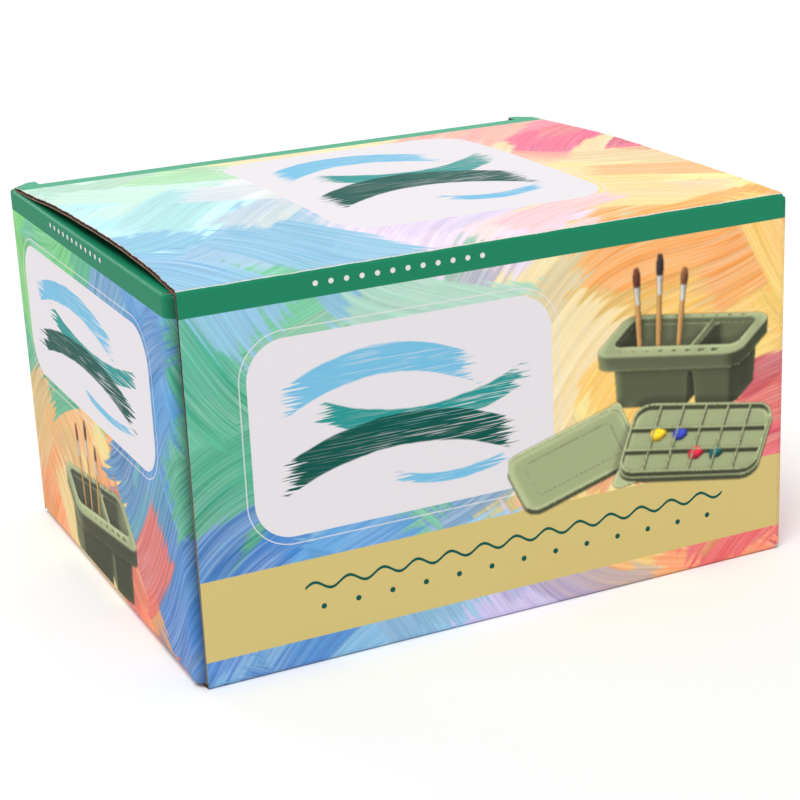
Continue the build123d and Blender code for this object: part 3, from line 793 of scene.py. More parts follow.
def shell(outer, inner, turned_out, straight=True):
    """Closed shell between a dense outer grid and an inner one.

    Where the inner grid's rows run straight, only its rim is used: each inner face spans one row from
    side to side, and the first and last are wide faces that meet every point of their side. turned_out
    says if the outer grid's own order already faces outwards. Returns points, quads, wide faces and how
    many quads the outer grid has.
    """
    rows, cols = outer.shape[:2]
    grid = np.arange(rows * cols).reshape(rows, cols)
    rim = np.concatenate([grid[:, 0], grid[-1, 1:], grid[-2::-1, -1], grid[0, -2:0:-1]])
    used = rim if straight else grid.ravel()
    points = np.vstack([outer.reshape(-1, 3), inner.reshape(-1, 3)[used]])
    under = np.zeros(rows * cols, int)
    under[used] = rows * cols + np.arange(len(used))
    after = np.roll(rim, -1)
    sides = np.stack([after, rim, under[rim], under[after]], -1)
    under = under.reshape(rows, cols)
    dense = np.stack([grid[:-1, :-1], grid[1:, :-1], grid[1:, 1:], grid[:-1, 1:]], -1).reshape(-1, 4)
    strips = np.stack([under[1:-2, 0], under[1:-2, -1], under[2:-1, -1], under[2:-1, 0]], -1)
    wide = [np.concatenate([under[0], under[1, ::-1]])]
    if not straight:
        strips = np.stack([under[:-1, :-1], under[:-1, 1:], under[1:, 1:], under[1:, :-1]], -1).reshape(-1, 4)
        wide = []
    elif rows > 2:
        wide = [np.concatenate([under[0], under[1, [-1, 0]]]),
                np.concatenate([under[-2, [0, -1]], under[-1, ::-1]])]
    quads = np.vstack([dense, sides, strips])
    if not turned_out:
        quads, wide = quads[:, ::-1], [face[::-1] for face in wide]
    return points, quads, wide, len(dense)


def faces_out(points, outward):
    """Whether a grid's first corner turns towards the outward direction."""
    first = points[1, 0] - points[0, 0]
    second = points[0, 1] - points[0, 0]
    return float(np.dot(np.cross(first, second), outward)) > 0


# Places in a panel's list of finishes: print, brown liner, medium and cut edges, and the lid's torn edge
PRINTED, CORE, MIDDLE, TORN = range(4)


def add_board(sheet, path, axis, low, high, fractions, to_sheet, fluted="path", image=None,
              worn=0.1 * MM, cut=MIDDLE):
    """Adds one panel of board to a sheet: printed liner, medium and inner liner.

    path is the outer face's path on a dense grid. to_sheet maps path length and carry to sheet places
    in metres. fluted is "path" where the flutes' waves follow each other along the path, and "carry"
    where they follow each other along the carry. worn is how far the cut sides fall back here and there,
    and cut the slot number of the printed liner's cut sides.
    """
    coarse = picked(path)
    low = np.broadcast_to(low, path[2].shape)
    high = np.broadcast_to(high, path[2].shape)

    def edges(length, share, start):
        fall = ragged(length, worn * share, start)
        return (np.interp(length, path[2], low) - fall, np.interp(length, path[2], high)
                + ragged(length, worn * share, start + 1.7))

    low_p, high_p = edges(path[2], 1.0, 0.4)
    outer, carry = extruded(path, axis, low_p, high_p, fractions, 0.0)
    under, carry = extruded(path, axis, low_p, high_p, fractions, LINER)
    outward = np.zeros(3)
    outward[{"x": [1, 2], "y": [0, 2], "z": [0, 1]}[axis]] = path[1][0]
    out = faces_out(outer, outward)
    length = np.broadcast_to(path[2][:, None], carry.shape)
    u, v = to_sheet(length, carry)
    colours, ways = paint(u / MM, v / MM, STROKES)
    tracks = [sweep(u / MM, v / MM, way) * MM for way in range(2)]
    layers = {"sheet": np.stack([u, v, np.zeros_like(u)], -1).reshape(-1, 3),
              "paint": np.concatenate([colours, np.ones((*u.shape, 1))], -1).reshape(-1, 4),
              "brush": np.stack([*tracks, ways], -1).reshape(-1, 3)}
    if image:
        layers["picture"] = picture(u / MM, v / MM, *image).reshape(-1, 4)
    sheet.add(shell(outer, under, out), PRINTED, cut, layers)

    ends = np.array([0.0, 1.0])
    low_c, high_c = edges(coarse[2], 0.0, 0.0)
    inner_top, carry = extruded(coarse, axis, low_c, high_c, ends, BOARD - LINER)
    inner_low, carry = extruded(coarse, axis, low_c, high_c, ends, BOARD)
    sheet.add(shell(inner_top, inner_low, out), MIDDLE, CORE)

    middle = BOARD / 2
    swing = BOARD / 2 - LINER - MEDIUM / 2
    if fluted == "path":
        steps = max(1, int(round(path[2][-1] / FLUTE_PITCH * FLUTE_STEPS)))
        at = np.linspace(0, path[2][-1], steps + 1)
        wavy = (np.stack([np.interp(at, path[2], path[0][:, k]) for k in range(2)], -1),
                np.stack([np.interp(at, path[2], path[1][:, k]) for k in range(2)], -1), at)
        low_w, high_w = edges(at, 2.0, 2.9)
        wave = middle + swing * np.cos(2 * np.pi * at / FLUTE_PITCH)[:, None]
        top, carry = extruded(wavy, axis, low_w, high_w, ends, wave - MEDIUM / 2)
        base, carry = extruded(wavy, axis, low_w, high_w, ends, wave + MEDIUM / 2)
    else:
        span = float(np.max(high_c - low_c))
        steps = np.linspace(0, 1, max(1, int(round(span / FLUTE_PITCH * FLUTE_STEPS))) + 1)
        carry = low_c[:, None] + steps[None] * (high_c - low_c)[:, None]
        wave = middle + swing * np.cos(2 * np.pi * carry / FLUTE_PITCH)
        top, carry = extruded(coarse, axis, low_c, high_c, steps, wave - MEDIUM / 2)
        base, carry = extruded(coarse, axis, low_c, high_c, steps, wave + MEDIUM / 2)
        top, base = top.transpose(1, 0, 2), base.transpose(1, 0, 2)
        out = not out
    sheet.add(shell(top, base, out, fluted == "path"), MIDDLE, MIDDLE)


def panel(name, path, axis, low, high, fractions, to_sheet, body=None, node=None, slot="printed_board",
          finishes=None, **board):
    """One panel of board as an object: see add_board for its form and Sheet.finish for its body."""
    sheet = Sheet(name)
    add_board(sheet, path, axis, low, high, fractions, to_sheet, **board)
    return sheet.finish(finishes or BOARD_FINISHES, body, node)


def beyond(length, total, glued, rear, folds, straight):
    """One value on both corner folds of an end panel's path, another on its straight run between."""
    return np.where((length < glued + 1e-7) | (length > total - rear - 1e-7), folds, straight)


# Finishes

# Layout of the print, metres on the sheet
EDGE_SOFT = 0.15 * MM
SEAM = front_low.x - 0.3 * MM
BAND_HIGH = 10.0 * MM
LID_BAND_FROM = 188.0 * MM
TAN_LOW = 10.8 * MM
TAN_HIGH = 42.2 * MM
OUTLINE_AT = 2.6 * MM
OUTLINE_WIDE = 0.45 * MM
BORDER_FROM = -84.0 * MM
BORDER_TO = 98.0 * MM
BORDER_PITCH = 14.0 * MM
BORDER_WAVE_V = 31.0 * MM
BORDER_WAVE_HIGH = 1.6 * MM
BORDER_DOT_V = 22.5 * MM
DOT_PITCH = 6.0 * MM
DOT_REACH = 36.0 * MM
# The labels' middle u, middle v, half width, half height and corner radius, each on the front, left end,
# right end, rear and lid
LABELS = np.array([
    (-40.0, -234.8, 229.5, 459.0, 12.6),
    (89.9, 100.9, 100.9, 89.9, 256.0),
    (61.2, 81.2, 81.2, 61.2, 57.4),
    (37.5, 28.3, 28.3, 37.5, 73.0),
    (15.0, 15.0, 15.0, 15.0, 19.0),
]) * MM

# Bristle marks per metre across and along a sweep, with the start and roughness of their noise
BRISTLES = ((980.0, 22.0, 0.0, 0.6), (330.0, 12.0, 5.0, 0.5))

# Brush strokes on the labels: middle, half length and half height as shares of the label, bend and ink
LABEL_STROKES = [
    (-0.16, 0.46, 0.60, 0.150, 0.16, INK_BLUE),
    (0.12, 0.10, 0.66, 0.115, -0.15, INK_TEAL),
    (-0.04, -0.30, 0.74, 0.165, 0.17, INK_GREEN),
    (0.30, -0.66, 0.36, 0.050, -0.06, INK_BLUE),
]


def bristled_ground(made, u, v):
    """The painted ground, deeper and paler along the tracks of single bristles, more so in patches.

    Noise stretched along each sweep's tracks gives the bristles, in a fine and a broad set.
    """
    first_track, second_track, way = made.split(made.attribute("brush", "Vector"))
    ground = made.attribute("paint")
    streaks = []
    for track, along in ((first_track, u), (second_track, v)):
        fine, broad = (made.noise(made.join(track * across, along * length, start), 1.0, 2.0, roughness)
                       for across, length, start, roughness in BRISTLES)
        streaks.append(fine.rises(0.34, 0.66) * 0.62 + broad.rises(0.3, 0.7) * 0.38)
    streak = streaks[0] + way * (streaks[1] - streaks[0])
    patches = made.noise(made.join(u * 26.0, v * 26.0, 1.0), 1.0, 2.0)
    strong = 0.35 + 0.65 * patches.rises(0.35, 0.65)
    deep = made.mix(strong * 0.6, ground, made.mix(1.0, ground, ground, "MULTIPLY"))
    pale = made.mix(strong * 0.20, ground, (1.0, 1.0, 1.0))
    return made.mix(streak, deep, pale)


def printed_finish():
    """Printed board: painted ground, label, bands, picture, worn folds and painted shade on the glued corner,
    under a satin varnish.

    The label is a box with round corners: edge is the distance outside it, negative inside.
    """
    made = Finish("printed_board")
    u, v = made.split(made.attribute("sheet", "Vector"))[:2]
    ground = bristled_ground(made, u, v)

    on_end = u.math("LESS_THAN", LEFT)
    on_right = u.math("GREATER_THAN", RIGHT)
    on_rear = u.math("GREATER_THAN", RIGHT + DEPTH)
    on_lid = v.math("GREATER_THAN", TOP + LID_FOLD_R)
    on_side = on_right - on_rear
    middle_u, middle_v, half_u, half_v, corner = (
        front + on_end * (end - front) + on_side * (right - front) + on_rear * (rear - front)
        + on_lid * (lid - front)
        for front, end, right, rear, lid in LABELS)
    place_u = u - middle_u
    place_v = v - middle_v
    out_u = place_u.size() - half_u + corner
    out_v = place_v.size() - half_v + corner
    reach_u, reach_v = out_u.at_least(0.0), out_v.at_least(0.0)
    round_part = (reach_u * reach_u + reach_v * reach_v).power(0.5)
    edge = round_part + out_u.at_least(out_v).at_most(0.0) - corner

    wall = 1.0 - on_lid
    folds = (on_end + on_right).at_most(1.0)
    tan = v.between(TAN_LOW, TAN_HIGH, EDGE_SOFT) * u.math("GREATER_THAN", SEAM) * (1.0 - on_side) * wall
    colour = made.mix(tan, ground, TAN)
    colour = made.mix(tan * border(u, v), colour, INK_GREEN)
    outline = edge.between(OUTLINE_AT, OUTLINE_AT + OUTLINE_WIDE, EDGE_SOFT)
    colour = made.mix(outline * 0.8, colour, LABEL_WHITE)
    label = edge.rises(EDGE_SOFT, -EDGE_SOFT)
    colour = made.mix(label, colour, LABEL_WHITE)
    for mask, ink in label_strokes(made, place_u / half_u, place_v / half_v, u, v):
        colour = made.mix(mask * label, colour, ink)

    band = v.between(TOP - BAND_HIGH, TOP + 0.4 * MM, EDGE_SOFT) + folds * v.rises(TOP - 1.0 * MM, TOP)
    colour = made.mix(band.at_most(1.0), colour, BAND_GREEN)
    lid_band = v.rises(TOP + LID_BAND_FROM - EDGE_SOFT, TOP + LID_BAND_FROM + EDGE_SOFT)
    colour = made.mix(on_lid * lid_band, colour, LID_BAND_GREEN)
    colour = made.mix(dots(place_u, v, wall), colour, LABEL_WHITE)

    printed, cover = made.attribute("picture", ("Color", "Alpha"))
    colour = made.mix(cover, colour, printed)

    place = made.place()
    # Painted shade: the glued corner's round darkens towards its seam with the front wall, where that wall's
    # cut edge shades it
    painted_corner_shade = u.rises(LEFT - 5.0 * MM, LEFT + 3.0 * MM) * u.math("LESS_THAN", SEAM) * wall
    colour = made.mix(painted_corner_shade * 0.85, colour, made.mix(1.0, colour, GLUED_CORNER_PAINTED_SHADE, "MULTIPLY"))
    wander = (made.noise(made.join(u * 90.0, 0.0, 0.0), 1.0, 4.0) - 0.5) * (1.6 * MM)
    chips = made.noise(place, 900.0, 3.0, 0.7).rises(0.28, 0.52)
    crack = (v - (TOP + LID_FOLD_R * 0.35) + wander).size().rises(0.50 * MM, 0.12 * MM)
    crack = crack * (1.0 - folds) * chips
    colour = made.mix(crack * 0.8, colour, PAPER)

    flutes = (v * (2 * np.pi / FLUTE_PITCH)).math("COSINE") * (0.008 * MM)
    normal = made.bump(flutes + made.noise(place, 30.0) * (0.3 * MM), 1.0, 0.8)
    rough = 0.36 + 0.10 * made.noise(place, 70.0, 3.0) + crack * 0.3
    return made.surface({"Base Color": colour, "Roughness": rough, "Normal": normal,
                         "Specular IOR Level": 0.0, "Coat Weight": 0.24, "Coat Roughness": 0.30})


def border(u, v):
    """Plain ornament of the tan band: a waving line with a row of dots below it, inside set ends."""
    wave = v - BORDER_WAVE_V - (u * (2 * np.pi / BORDER_PITCH)).math("SINE") * BORDER_WAVE_HIGH
    line_part = wave.size().rises(0.75 * MM, 0.45 * MM)
    cell = ((u / BORDER_PITCH).math("FRACT") - 0.5) * BORDER_PITCH
    below = v - BORDER_DOT_V
    dot_part = (cell * cell + below * below).power(0.5).rises(1.25 * MM, 0.95 * MM)
    return (line_part + dot_part).at_most(1.0) * u.between(BORDER_FROM, BORDER_TO, EDGE_SOFT)


def dots(u, v, wall):
    """Row of small white dots on the green band of each wall, level with the label's middle."""
    cell = ((u / DOT_PITCH).math("FRACT") - 0.5) * DOT_PITCH
    rise = v - (TOP - BAND_HIGH / 2)
    dot = (cell * cell + rise * rise).power(0.5).rises(1.15 * MM, 0.85 * MM)
    return dot * u.size().rises(DOT_REACH, DOT_REACH - 0.1 * MM) * wall


def label_strokes(made, x, y, u, v):
    """Masks and inks of the plain brush strokes on a label, bent, and dry and streaky at their ends."""
    streaks = made.noise(made.join(u * 60.0, v * 1100.0, 0.0), 1.0, 2.0)
    dry = made.noise(made.join(u * 45.0, v * 1700.0, 4.0), 1.0, 3.0)
    wobble = made.noise(made.join(u * 90.0, v * 20.0, 7.0), 1.0, 2.0) - 0.5
    for middle_x, middle_y, half_x, half_y, bend, ink in LABEL_STROKES:
        share = (x - middle_x) / half_x
        across = (y - middle_y + wobble * 0.04 - bend * (1.0 - share * share * 1.6)).size()
        ends = (1.0 - share.size()) * (half_x * 6.0) + (streaks - 0.5) * 2.8
        gaps = (1.0 - (share * 0.5 + 0.5) * dry.rises(0.52, 0.62) * 0.75).at_most(1.0)
        yield ends.rises(0.0, 0.35) * across.rises(half_y + 0.012, half_y - 0.012) * gaps, ink


def kraft_finish(name, brown, flecks):
    """Raw brown board: fibres, soft clouds, and dark and pale flecks, stronger where the board is cut."""
    made = Finish(name)
    place = made.place()
    fibres = made.noise(place, 1400.0, 4.0, 0.7)
    clouds = made.noise(place, 60.0, 3.0)
    specks = made.noise(place, 520.0, 2.0, 0.6)
    colour = made.mix(clouds, brown * 0.80, brown)
    colour = made.mix(specks.rises(0.50, 0.64) * (0.15 + 0.5 * flecks), colour, brown * 0.40)
    colour = made.mix(fibres.rises(0.42, 0.75), colour, brown * 1.35)
    colour = made.mix(made.noise(place, 410.0, 1.0).rises(0.54, 0.66) * flecks, colour, brown * 2.3)
    normal = made.bump(fibres, 0.00006)
    return made.surface({"Base Color": colour, "Roughness": 0.86 + 0.1 * fibres, "Normal": normal})


def cut_finish():
    """Cut edge of the glued front wall: dark at the top with ink and painted shade, pale and fuzzy below."""
    made = Finish("glued_cut")
    place = made.place()
    z = made.split(place)[2]
    clouds = made.noise(place, 400.0, 3.0, 0.6)
    # Painted shade with ink at the top of the cut edge, blending into the edge's own pale colour lower down
    colour = made.mix((z + (clouds - 0.5) * 0.03).rises(0.035, 0.115), GLUED_CUT_LOW, GLUED_CUT_INK_AND_SHADE)
    return made.surface({"Base Color": colour, "Roughness": 0.86 + 0.1 * clouds})


def sage_finish():
    """Moulded sage plastic: fine spark-eroded grain, soft sheen and faint flow clouds."""
    made = Finish("sage_moulding")
    place = made.place()
    grain = made.noise(place, 2600.0, 2.0, 0.6)
    clouds = made.noise(place, 22.0, 3.0)
    colour = made.mix(0.25 + 0.5 * clouds, SAGE * 0.94, SAGE * 1.05)
    normal = made.bump(grain, 0.00003, 0.6)
    return made.surface({"Base Color": colour, "Roughness": 0.44 + 0.12 * grain, "Normal": normal})


def floor_finish():
    """White studio floor that keeps the object's shadow."""
    made = Finish("studio_floor")
    return made.surface({"Base Color": (0.92, 0.92, 0.92), "Roughness": 0.9})


print_finish = printed_finish()
board_finish = kraft_finish("raw_board", KRAFT, 0.04)
medium_finish = kraft_finish("fluted_medium", MEDIUM_BROWN, 0.7)
torn_finish = kraft_finish("torn_liner", TORN_BROWN, 0.3)
glued_cut_finish = cut_finish()
plastic_finish = sage_finish()
BOARD_FINISHES = [print_finish, board_finish, medium_finish]


# Carton, panel by panel

front_image = (draw(front_shapes(), FRONT_PICTURE["size"]), FRONT_PICTURE["middle"], FRONT_PICTURE["size"])
end_image = (draw(end_shapes(), END_PICTURE["size"]), END_PICTURE["middle"], END_PICTURE["size"])


def front_board():
    """Front wall, from the bottom fold up to the lid's fold."""
    top = TOP - LID_FOLD_R
    up = spaced(BOTTOM_FOLD_R, top, PRINT_STEP, FRONT_FINE_UP)
    path = upright(FRONT, BOTTOM_FOLD_R + up * (top - BOTTOM_FOLD_R), -1)
    across = spaced(front_low.x, front_high.x, PRINT_STEP, FRONT_FINE_ACROSS)
    panel("front_board", path, "x", front_low.x, front_high.x, across,
          lambda length, x: (x, BOTTOM_FOLD_R + length), "carton", "front_panel",
          finishes=[print_finish, board_finish, glued_cut_finish], image=front_image)


def lid_arc(step):
    """Path of the bowed lid, from the front fold to the start of the tuck's fold."""
    half = (TUCK_START - FRONT) / 2
    radius = (half ** 2 + LID_BOW ** 2) / (2 * LID_BOW)
    centre = np.array([FRONT + half, TOP + LID_BOW - radius])
    reach = np.degrees(np.arcsin(half / radius))
    start = 90 + np.degrees(np.arcsin((half - LID_FOLD_R) / radius))
    steps = int(round((2 * half) / step))
    return arc(centre, radius, start, 90 - reach, steps)


def lid_board():
    """Bowed lid with its two lock ears, its raw side edges showing the flutes."""
    sheet = Sheet("lid_board")
    path = trace(lid_arc(PRINT_STEP))
    share = (path[0][:, 0] - FRONT) / (TUCK_START - FRONT)
    low = front_low.x + share * (lid_low.x - front_low.x)
    high = np.full_like(low, lid_high.x)
    across = spaced(lid_low.x, lid_high.x, PRINT_STEP)

    def to_sheet(length, x):
        return x, TOP + LID_FOLD_R + length

    add_board(sheet, path, "x", low, high, across, to_sheet, worn=0.7 * MM, cut=TORN)
    ear_length = REAR - TUCK_START
    ear = trace(line((TUCK_START, TOP), (REAR, TOP), (0.0, 1.0), ear_length / 2))
    slant = np.array([0.0, 0.5, 1.0]) * EAR_PEAK
    rear_v = TOP + LID_FOLD_R + path[2][-1]

    def ear_sheet(length, x):
        return x, rear_v + length

    for start, end in ((lid_low.x + slant, lid_low.x + EAR_WIDTH),
                       (lid_high.x - EAR_WIDTH, lid_high.x - slant)):
        add_board(sheet, ear, "x", start, end, np.linspace(0, 1, 12), ear_sheet)
    sheet.warp(lid_dents)
    sheet.finish([*BOARD_FINISHES, torn_finish], "lid", "lid_panel")


def lid_dents(x, y, z):
    """Rise and fall of the handled lid: hills along each side edge, fading evenly to the other edge."""
    share = (x - lid_low.x) / (lid_high.x - lid_low.x)
    sides = [sum(height * np.exp(-((y - at) / wide) ** 2) for at, wide, height in dents)
             for dents in (LEFT_DENTS, RIGHT_DENTS)]
    held = [np.clip(reach / DENTS_DIE_OUT, 0, 1) for reach in (y - FRONT - LID_FOLD_R, TUCK_START - y)]
    held = held[0] * (2 - held[0]) * held[1]
    lift = (sides[0] * (1 - share) + sides[1] * share) * held
    return np.stack([np.zeros_like(x), np.zeros_like(x), lift], -1)


def front_crease():
    """Round fold between front wall and lid."""
    path = trace(arc((FRONT + LID_FOLD_R, TOP - LID_FOLD_R), LID_FOLD_R, 180, 90,
                     FRONT_CREASE_STEPS))
    stretch = 2 * LID_FOLD_R / path[2][-1]
    piece = panel("front_crease", path, "x", front_low.x, front_high.x,
                  spaced(front_low.x, front_high.x, PRINT_STEP),
                  lambda length, x: (x, TOP - LID_FOLD_R + stretch * length))
    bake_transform(piece)


def tuck_side(drop):
    """How far the tuck flap's side edge stands in at a drop below the lid: a slope, then a round corner."""
    total = TOP - TUCK_FOLD_R - tuck_low.z
    into = np.clip((drop - (total - TUCK_CORNER)) / TUCK_CORNER, 0, 1)
    return np.clip(drop / total, 0, 1) * TUCK_SLOPE + TUCK_CORNER * (1 - np.sqrt(1 - into ** 2))


def tuck_board():
    """Tuck flap's tongue with rounded lower corners."""
    path = trace(line((TUCK_FACE, TOP - TUCK_FOLD_R), (TUCK_FACE, tuck_low.z), (1.0, 0.0)))
    inset = tuck_side(path[2])
    start_v = TOP + (TUCK_START - FRONT) + np.pi / 2 * TUCK_FOLD_R
    panel("tuck_board", path, "x", tuck_low.x + inset, tuck_high.x - inset,
          spaced(tuck_low.x, tuck_high.x, 2 * PRINT_STEP), lambda length, x: (x, start_v + length),
          "tuck", "tuck_flap")


def tuck_crease():
    """Round fold between lid and tuck flap."""
    path = trace(arc((TUCK_START, TOP - TUCK_FOLD_R), TUCK_FOLD_R, 90, 0, TUCK_CREASE_STEPS))
    start_v = TOP + (TUCK_START - FRONT)
    piece = panel("tuck_crease", path, "x", tuck_low.x, tuck_high.x,
                  spaced(tuck_low.x, tuck_high.x, 2 * PRINT_STEP), lambda length, x: (x, start_v + length))
    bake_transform(piece)


def end_board(side):
    """End wall with its two upright corner folds. side is -1 on the left, 1 on the right."""
    name = "left_end_board" if side < 0 else "right_end_board"
    edge = LEFT if side < 0 else RIGHT
    glued = GLUED_CORNER_R if side < 0 else WALL_FOLD_R
    front_y = FRONT + BOARD if side < 0 else FRONT
    outward = 180 if side < 0 else 0
    first = arc((edge - side * glued, front_y + glued), glued, 270, 180 if side < 0 else 360,
                GLUED_STEPS if side < 0 else FOLD_STEPS)
    last = arc((edge - side * WALL_FOLD_R, REAR - WALL_FOLD_R), WALL_FOLD_R, outward, 90)
    start, stop = front_y + glued, REAR - WALL_FOLD_R
    between = np.linspace(start + PRINT_STEP, stop - PRINT_STEP, int((stop - start) / PRINT_STEP))
    along = np.array([start, start + TOP_STEP, *between, stop - TOP_STEP, stop])
    straight = np.stack([np.full_like(along, edge), along], -1)
    path = trace(first, (straight, np.tile((float(side), 0.0), (len(along), 1))), last)
    first_arc = trace(first)[2][-1]
    last_arc = trace(last)[2][-1]
    low = beyond(path[2], path[2][-1], first_arc, last_arc, BOTTOM_FOLD_R, FLAP_FOLD_TOP)
    high = beyond(path[2], path[2][-1], first_arc, last_arc, UNDER_LID - SLIT, SHOULDER_Z)
    corners = [((edge - side * glued, front_y + glued), SHOULDER_POWER if side < 0 else CORNER_POWER),
               ((edge - side * WALL_FOLD_R, REAR - WALL_FOLD_R), CORNER_POWER)]
    even = spaced(BOTTOM_FOLD_R, SHOULDER_Z, PRINT_STEP, END_FINE_UP if side < 0 else None)
    up = np.concatenate([even * EVEN_HEIGHT, np.linspace(EVEN_HEIGHT, 1, 9)[1:]])
    start_u = edge - side * glued * (np.pi / 2 - 1)
    sheet = Sheet(name)
    add_board(sheet, path, "z", low, high, up, lambda length, z: (start_u + side * length, z), "carry",
              end_image if side < 0 else None, worn=0.0)

    def dome(x, y, z):
        """Shift of a corner fold towards its own axis above the shoulder, as in ridge, by power."""
        rise = np.clip((z - SHOULDER_Z) / SHOULDER_R, 0, 1)
        shift = np.zeros((len(x), 3))
        for centre, power in corners:
            off = np.stack([centre[0] - x, centre[1] - y], -1)
            near = (off[:, 0] * side <= 1e-9) & (off[:, 1] * np.sign(centre[1]) <= 1e-9)
            size = np.linalg.norm(off, axis=1) + 1e-12
            pull = np.minimum(SHOULDER_R * (1 - (1 - rise ** power) ** (1 / power)) / size, 0.97)
            shift[:, :2] += np.where(near[:, None], off * pull[:, None], 0)
        return shift

    sheet.warp(dome)
    sheet.finish(BOARD_FINISHES, "carton", name.replace("board", "panel"))


def rear_board():
    """Rear wall."""
    top = rear_high.z
    heights = np.linspace(BOTTOM_FOLD_R, top, int((top - BOTTOM_FOLD_R) / PRINT_STEP))
    panel("rear_board", upright(REAR, heights, 1), "x", rear_low.x, rear_high.x,
          spaced(rear_low.x, rear_high.x, PRINT_STEP),
          lambda length, x: (RIGHT + DEPTH + RIGHT - x, BOTTOM_FOLD_R + length), "carton", "rear_panel")


def dust_board(side):
    """Dust flap: squared shoulder and inner leaf with its sloped front edge, sagging under the lid."""
    body = "left_dust" if side < 0 else "right_dust"
    low_box, high_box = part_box(body + "_flap")
    edge = LEFT if side < 0 else RIGHT
    length_in = high_box.x - low_box.x
    inner = edge - side * SHOULDER_R
    tip = edge - side * length_in
    fold = ridge((inner, SHOULDER_Z), SHOULDER_R, side)
    leaf, level = line((inner, UNDER_LID), (tip, UNDER_LID), (0.0, 1.0), 1.5 * PRINT_STEP)
    sink = np.clip(np.abs(leaf[:, 0] - inner) / LEAF_SINKS, 0, 1)
    leaf[:, 1] -= LEAF_DROP * sink * sink * (3 - 2 * sink)
    slope = np.gradient(leaf[:, 1], leaf[:, 0])
    level[:, 0] = -slope
    path = trace(fold, (leaf, level / np.hypot(slope, 1)[:, None]))
    into = np.abs(path[0][:, 0] - edge) - SHOULDER_R
    setback = (length_in - SHOULDER_R) * LEAF_SETBACK
    share = np.clip((into - LEAF_STRAIGHT) / (length_in - SHOULDER_R - LEAF_STRAIGHT), 0, 1)
    near_tip = np.clip((into - (length_in - SHOULDER_R - LEAF_CORNER)) / LEAF_CORNER, 0, 1)
    round_off = LEAF_CORNER * (1 - np.sqrt(1 - near_tip ** 2))
    glued = (FRONT + BOARD + GLUED_CORNER_R) if side < 0 else (FRONT + WALL_FOLD_R)
    low = glued + SLIT + share * setback + 0.4 * round_off
    leaf_rear = TUCK_FACE - BOARD - LEAF_TO_TUCK
    step_share = np.clip(into / LEAF_REAR_RUN, 0, 1)
    rear = REAR - WALL_FOLD_R - SLIT
    high = rear + (leaf_rear - rear) * step_share - round_off

    def to_sheet(length, y):
        return edge + side * (y - (FRONT + BOARD if side < 0 else FRONT)), SHOULDER_Z + length

    panel(body + "_board", path, "y", low, high, spaced(low_box.y, high_box.y, 2 * PRINT_STEP), to_sheet,
          body, body + "_flap", worn=0.03 * MM)


def bottom_boards():
    """Long bottom panels, each with its printed fold and the stepped edge where the two interlock."""
    for side, node in ((-1, "bottom_front_panel"), (1, "bottom_rear_panel")):
        low_box, high_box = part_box(node)
        edge = FRONT if side < 0 else REAR
        near = edge - side * BOTTOM_FOLD_R
        fold = arc((near, BOTTOM_FOLD_R), BOTTOM_FOLD_R, 180 if side < 0 else 360, 270)
        tongue_from = side * (LOCK_STEP + LOCK_GAP)
        tongue_to = side * (LOCK_GAP - LOCK_STEP)
        path = trace(fold, line((near, 0.0), (tongue_from, 0.0), (0.0, -1.0), 3 * PRINT_STEP))
        sheet = Sheet(node.replace("panel", "board"))
        add_board(sheet, path, "x", low_box.x, high_box.x, spaced(low_box.x, high_box.x, 2 * PRINT_STEP),
                  lambda length, x: (x, BOTTOM_FOLD_R - length))
        path = trace(line((tongue_from, 0.0), (tongue_to, 0.0), (0.0, -1.0), 3 * PRINT_STEP))
        share = path[2] / path[2][-1]
        if side < 0:
            low, high = low_box.x, LOCK_SLOPE - 2 * LOCK_SLOPE * share
        else:
            low, high = -LOCK_SLOPE + 2 * LOCK_SLOPE * share, high_box.x
        offset = abs(near - tongue_from) + np.pi / 2 * BOTTOM_FOLD_R
        add_board(sheet, path, "x", low, high, spaced(0.0, 1.0, 0.03),
                  lambda length, x: (x, BOTTOM_FOLD_R - offset - length))
        sheet.finish(BOARD_FINISHES, "carton", node)


def bottom_flap_board(side):
    """Short bottom flap: printed fold under the end wall, then a leaf that lies on the long panels."""
    node = "bottom_left_flap" if side < 0 else "bottom_right_flap"
    low_box, high_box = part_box(node)
    edge = LEFT if side < 0 else RIGHT
    inner = edge - side * FLAP_FOLD_R
    base = low_box.z
    tip = high_box.x if side < 0 else low_box.x
    fold = arc((inner, base + FLAP_FOLD_R), FLAP_FOLD_R, 180 if side < 0 else 360, 270)
    path = trace(fold, line((inner, base), (tip, base), (0.0, -1.0), 3 * PRINT_STEP))
    panel(node + "_board", path, "y", low_box.y, high_box.y, spaced(low_box.y, high_box.y, 2 * PRINT_STEP),
          lambda length, y: (edge + side * (y - FRONT), base + FLAP_FOLD_R - length),
          "carton", node, "plain_board")


def moulding(node, name, body):
    """A moulded piece: its merged solid with softened edges, smooth where its walls are drawn round."""
    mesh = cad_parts[node].data.copy()
    mesh.name = name
    work = bmesh.new()
    work.from_mesh(mesh)
    bmesh.ops.remove_doubles(work, verts=work.verts, dist=0.002 * MM)
    bmesh.ops.dissolve_limit(work, angle_limit=np.radians(0.5), verts=work.verts, edges=work.edges)
    work.to_mesh(mesh)
    work.free()
    mesh.materials.clear()
    mesh.materials.append(plastic_finish)
    mesh.shade_smooth()
    mesh.set_sharp_from_angle(angle=MOULD_CREASE)
    piece = bpy.data.objects.new(name, mesh)
    bpy.context.scene.collection.objects.link(piece)
    softened = piece.modifiers.new("softened_edges", "BEVEL")
    softened.width = MOULD_EDGE
    softened.segments = 2
    softened.limit_method = "ANGLE"
    softened.angle_limit = MOULD_CREASE
    softened.harden_normals = True
    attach(piece, body)
    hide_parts(node)


front_board()
lid_board()
front_crease()
tuck_board()
tuck_crease()
end_board(-1)
end_board(1)
rear_board()
dust_board(-1)
dust_board(1)
bottom_boards()
bottom_flap_board(-1)
bottom_flap_board(1)
moulding("tub", "moulded_tub", "organizer_tub")
moulding("palette", "moulded_palette", "organizer_palette")
moulding("cover", "moulded_cover", "organizer_cover")

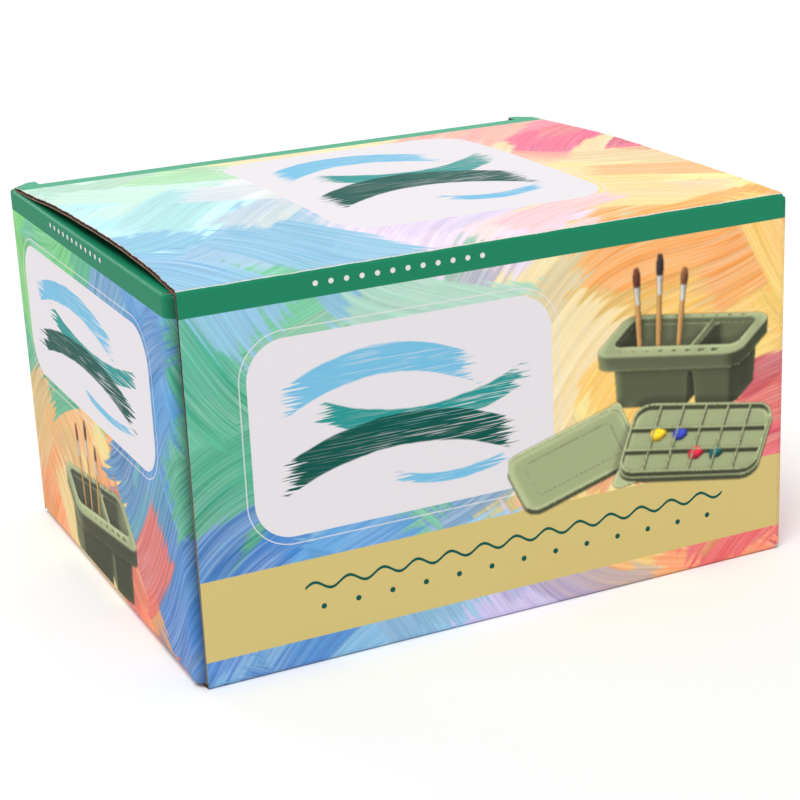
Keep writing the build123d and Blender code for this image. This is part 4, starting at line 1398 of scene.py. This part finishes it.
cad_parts["glue_flap"].data.materials.clear()
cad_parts["glue_flap"].data.materials.append(board_finish)


# Studio

# The white sky's strength where it lights the scene; it is seen at full strength
SKY = 0.55
# Lamps: strength, spread in degrees, and the direction that the light comes from
LAMPS = [
    ("key_lamp", 1.85, 35.0, (-0.28, -0.34, 0.90)),
    ("rim_lamp", 0.60, 26.0, (-0.22, 0.92, 0.33)),
]

CAMERA_PLACE = Vector((-0.324, -0.712, 0.3252))
CAMERA_AZIMUTH = -24.77
CAMERA_ELEVATION = 18.82
CAMERA_ROLL = -2.62
CAMERA_LENS = 88.0


def studio():
    """White floor, even white sky, a broad lamp from the upper left and a faint one from behind it."""
    reach = 12.0
    mesh = bpy.data.meshes.new("floor")
    mesh.from_pydata([(-reach, -reach, 0), (reach, -reach, 0), (reach, reach, 0), (-reach, reach, 0)], [],
                     [(0, 1, 2, 3)])
    floor = bpy.data.objects.new("floor", mesh)
    mesh.materials.append(floor_finish())
    bpy.context.scene.collection.objects.link(floor)

    world = bpy.data.worlds.new("studio_sky")
    world.use_nodes = True
    tree = world.node_tree
    path = tree.nodes.new("ShaderNodeLightPath")
    seen = (Value(tree, path.outputs["Is Camera Ray"]) + Value(tree, path.outputs["Is Glossy Ray"])
            + Value(tree, path.outputs["Is Transmission Ray"])).at_most(1.0)
    strength = seen * (1.0 - SKY) + SKY
    background = tree.nodes["Background"]
    background.inputs[0].default_value = (1.0, 1.0, 1.0, 1.0)
    tree.links.new(strength.socket, background.inputs[1])
    bpy.context.scene.world = world

    for name, energy, spread, place in LAMPS:
        lamp = bpy.data.lights.new(name, "SUN")
        lamp.energy = energy
        lamp.angle = np.radians(spread)
        holder = bpy.data.objects.new(name, lamp)
        holder.rotation_mode = "QUATERNION"
        holder.rotation_quaternion = (-Vector(place)).to_track_quat("-Z", "Y")
        bpy.context.scene.collection.objects.link(holder)


def camera():
    """The photograph's viewpoint: azimuth and elevation of the line of sight, then a roll about it."""
    azimuth, elevation, roll = np.radians([CAMERA_AZIMUTH, CAMERA_ELEVATION, CAMERA_ROLL])
    back = Vector((np.sin(azimuth) * np.cos(elevation), -np.cos(azimuth) * np.cos(elevation),
                   np.sin(elevation)))
    right = (-back).cross(Vector((0, 0, 1))).normalized()
    up = right.cross(-back)
    turned_right = np.cos(roll) * right + np.sin(roll) * up
    turned_up = -np.sin(roll) * right + np.cos(roll) * up
    data = bpy.data.cameras.new("camera")
    data.lens = CAMERA_LENS
    data.sensor_width = 36.0
    seat = bpy.data.objects.new("camera", data)
    seat.matrix_world = Matrix.Translation(CAMERA_PLACE) @ Matrix(
        (turned_right, turned_up, back)).transposed().to_4x4()
    bpy.context.scene.collection.objects.link(seat)
    bpy.context.scene.camera = seat


studio()
camera()
bpy.context.scene.view_settings.view_transform = "Standard"
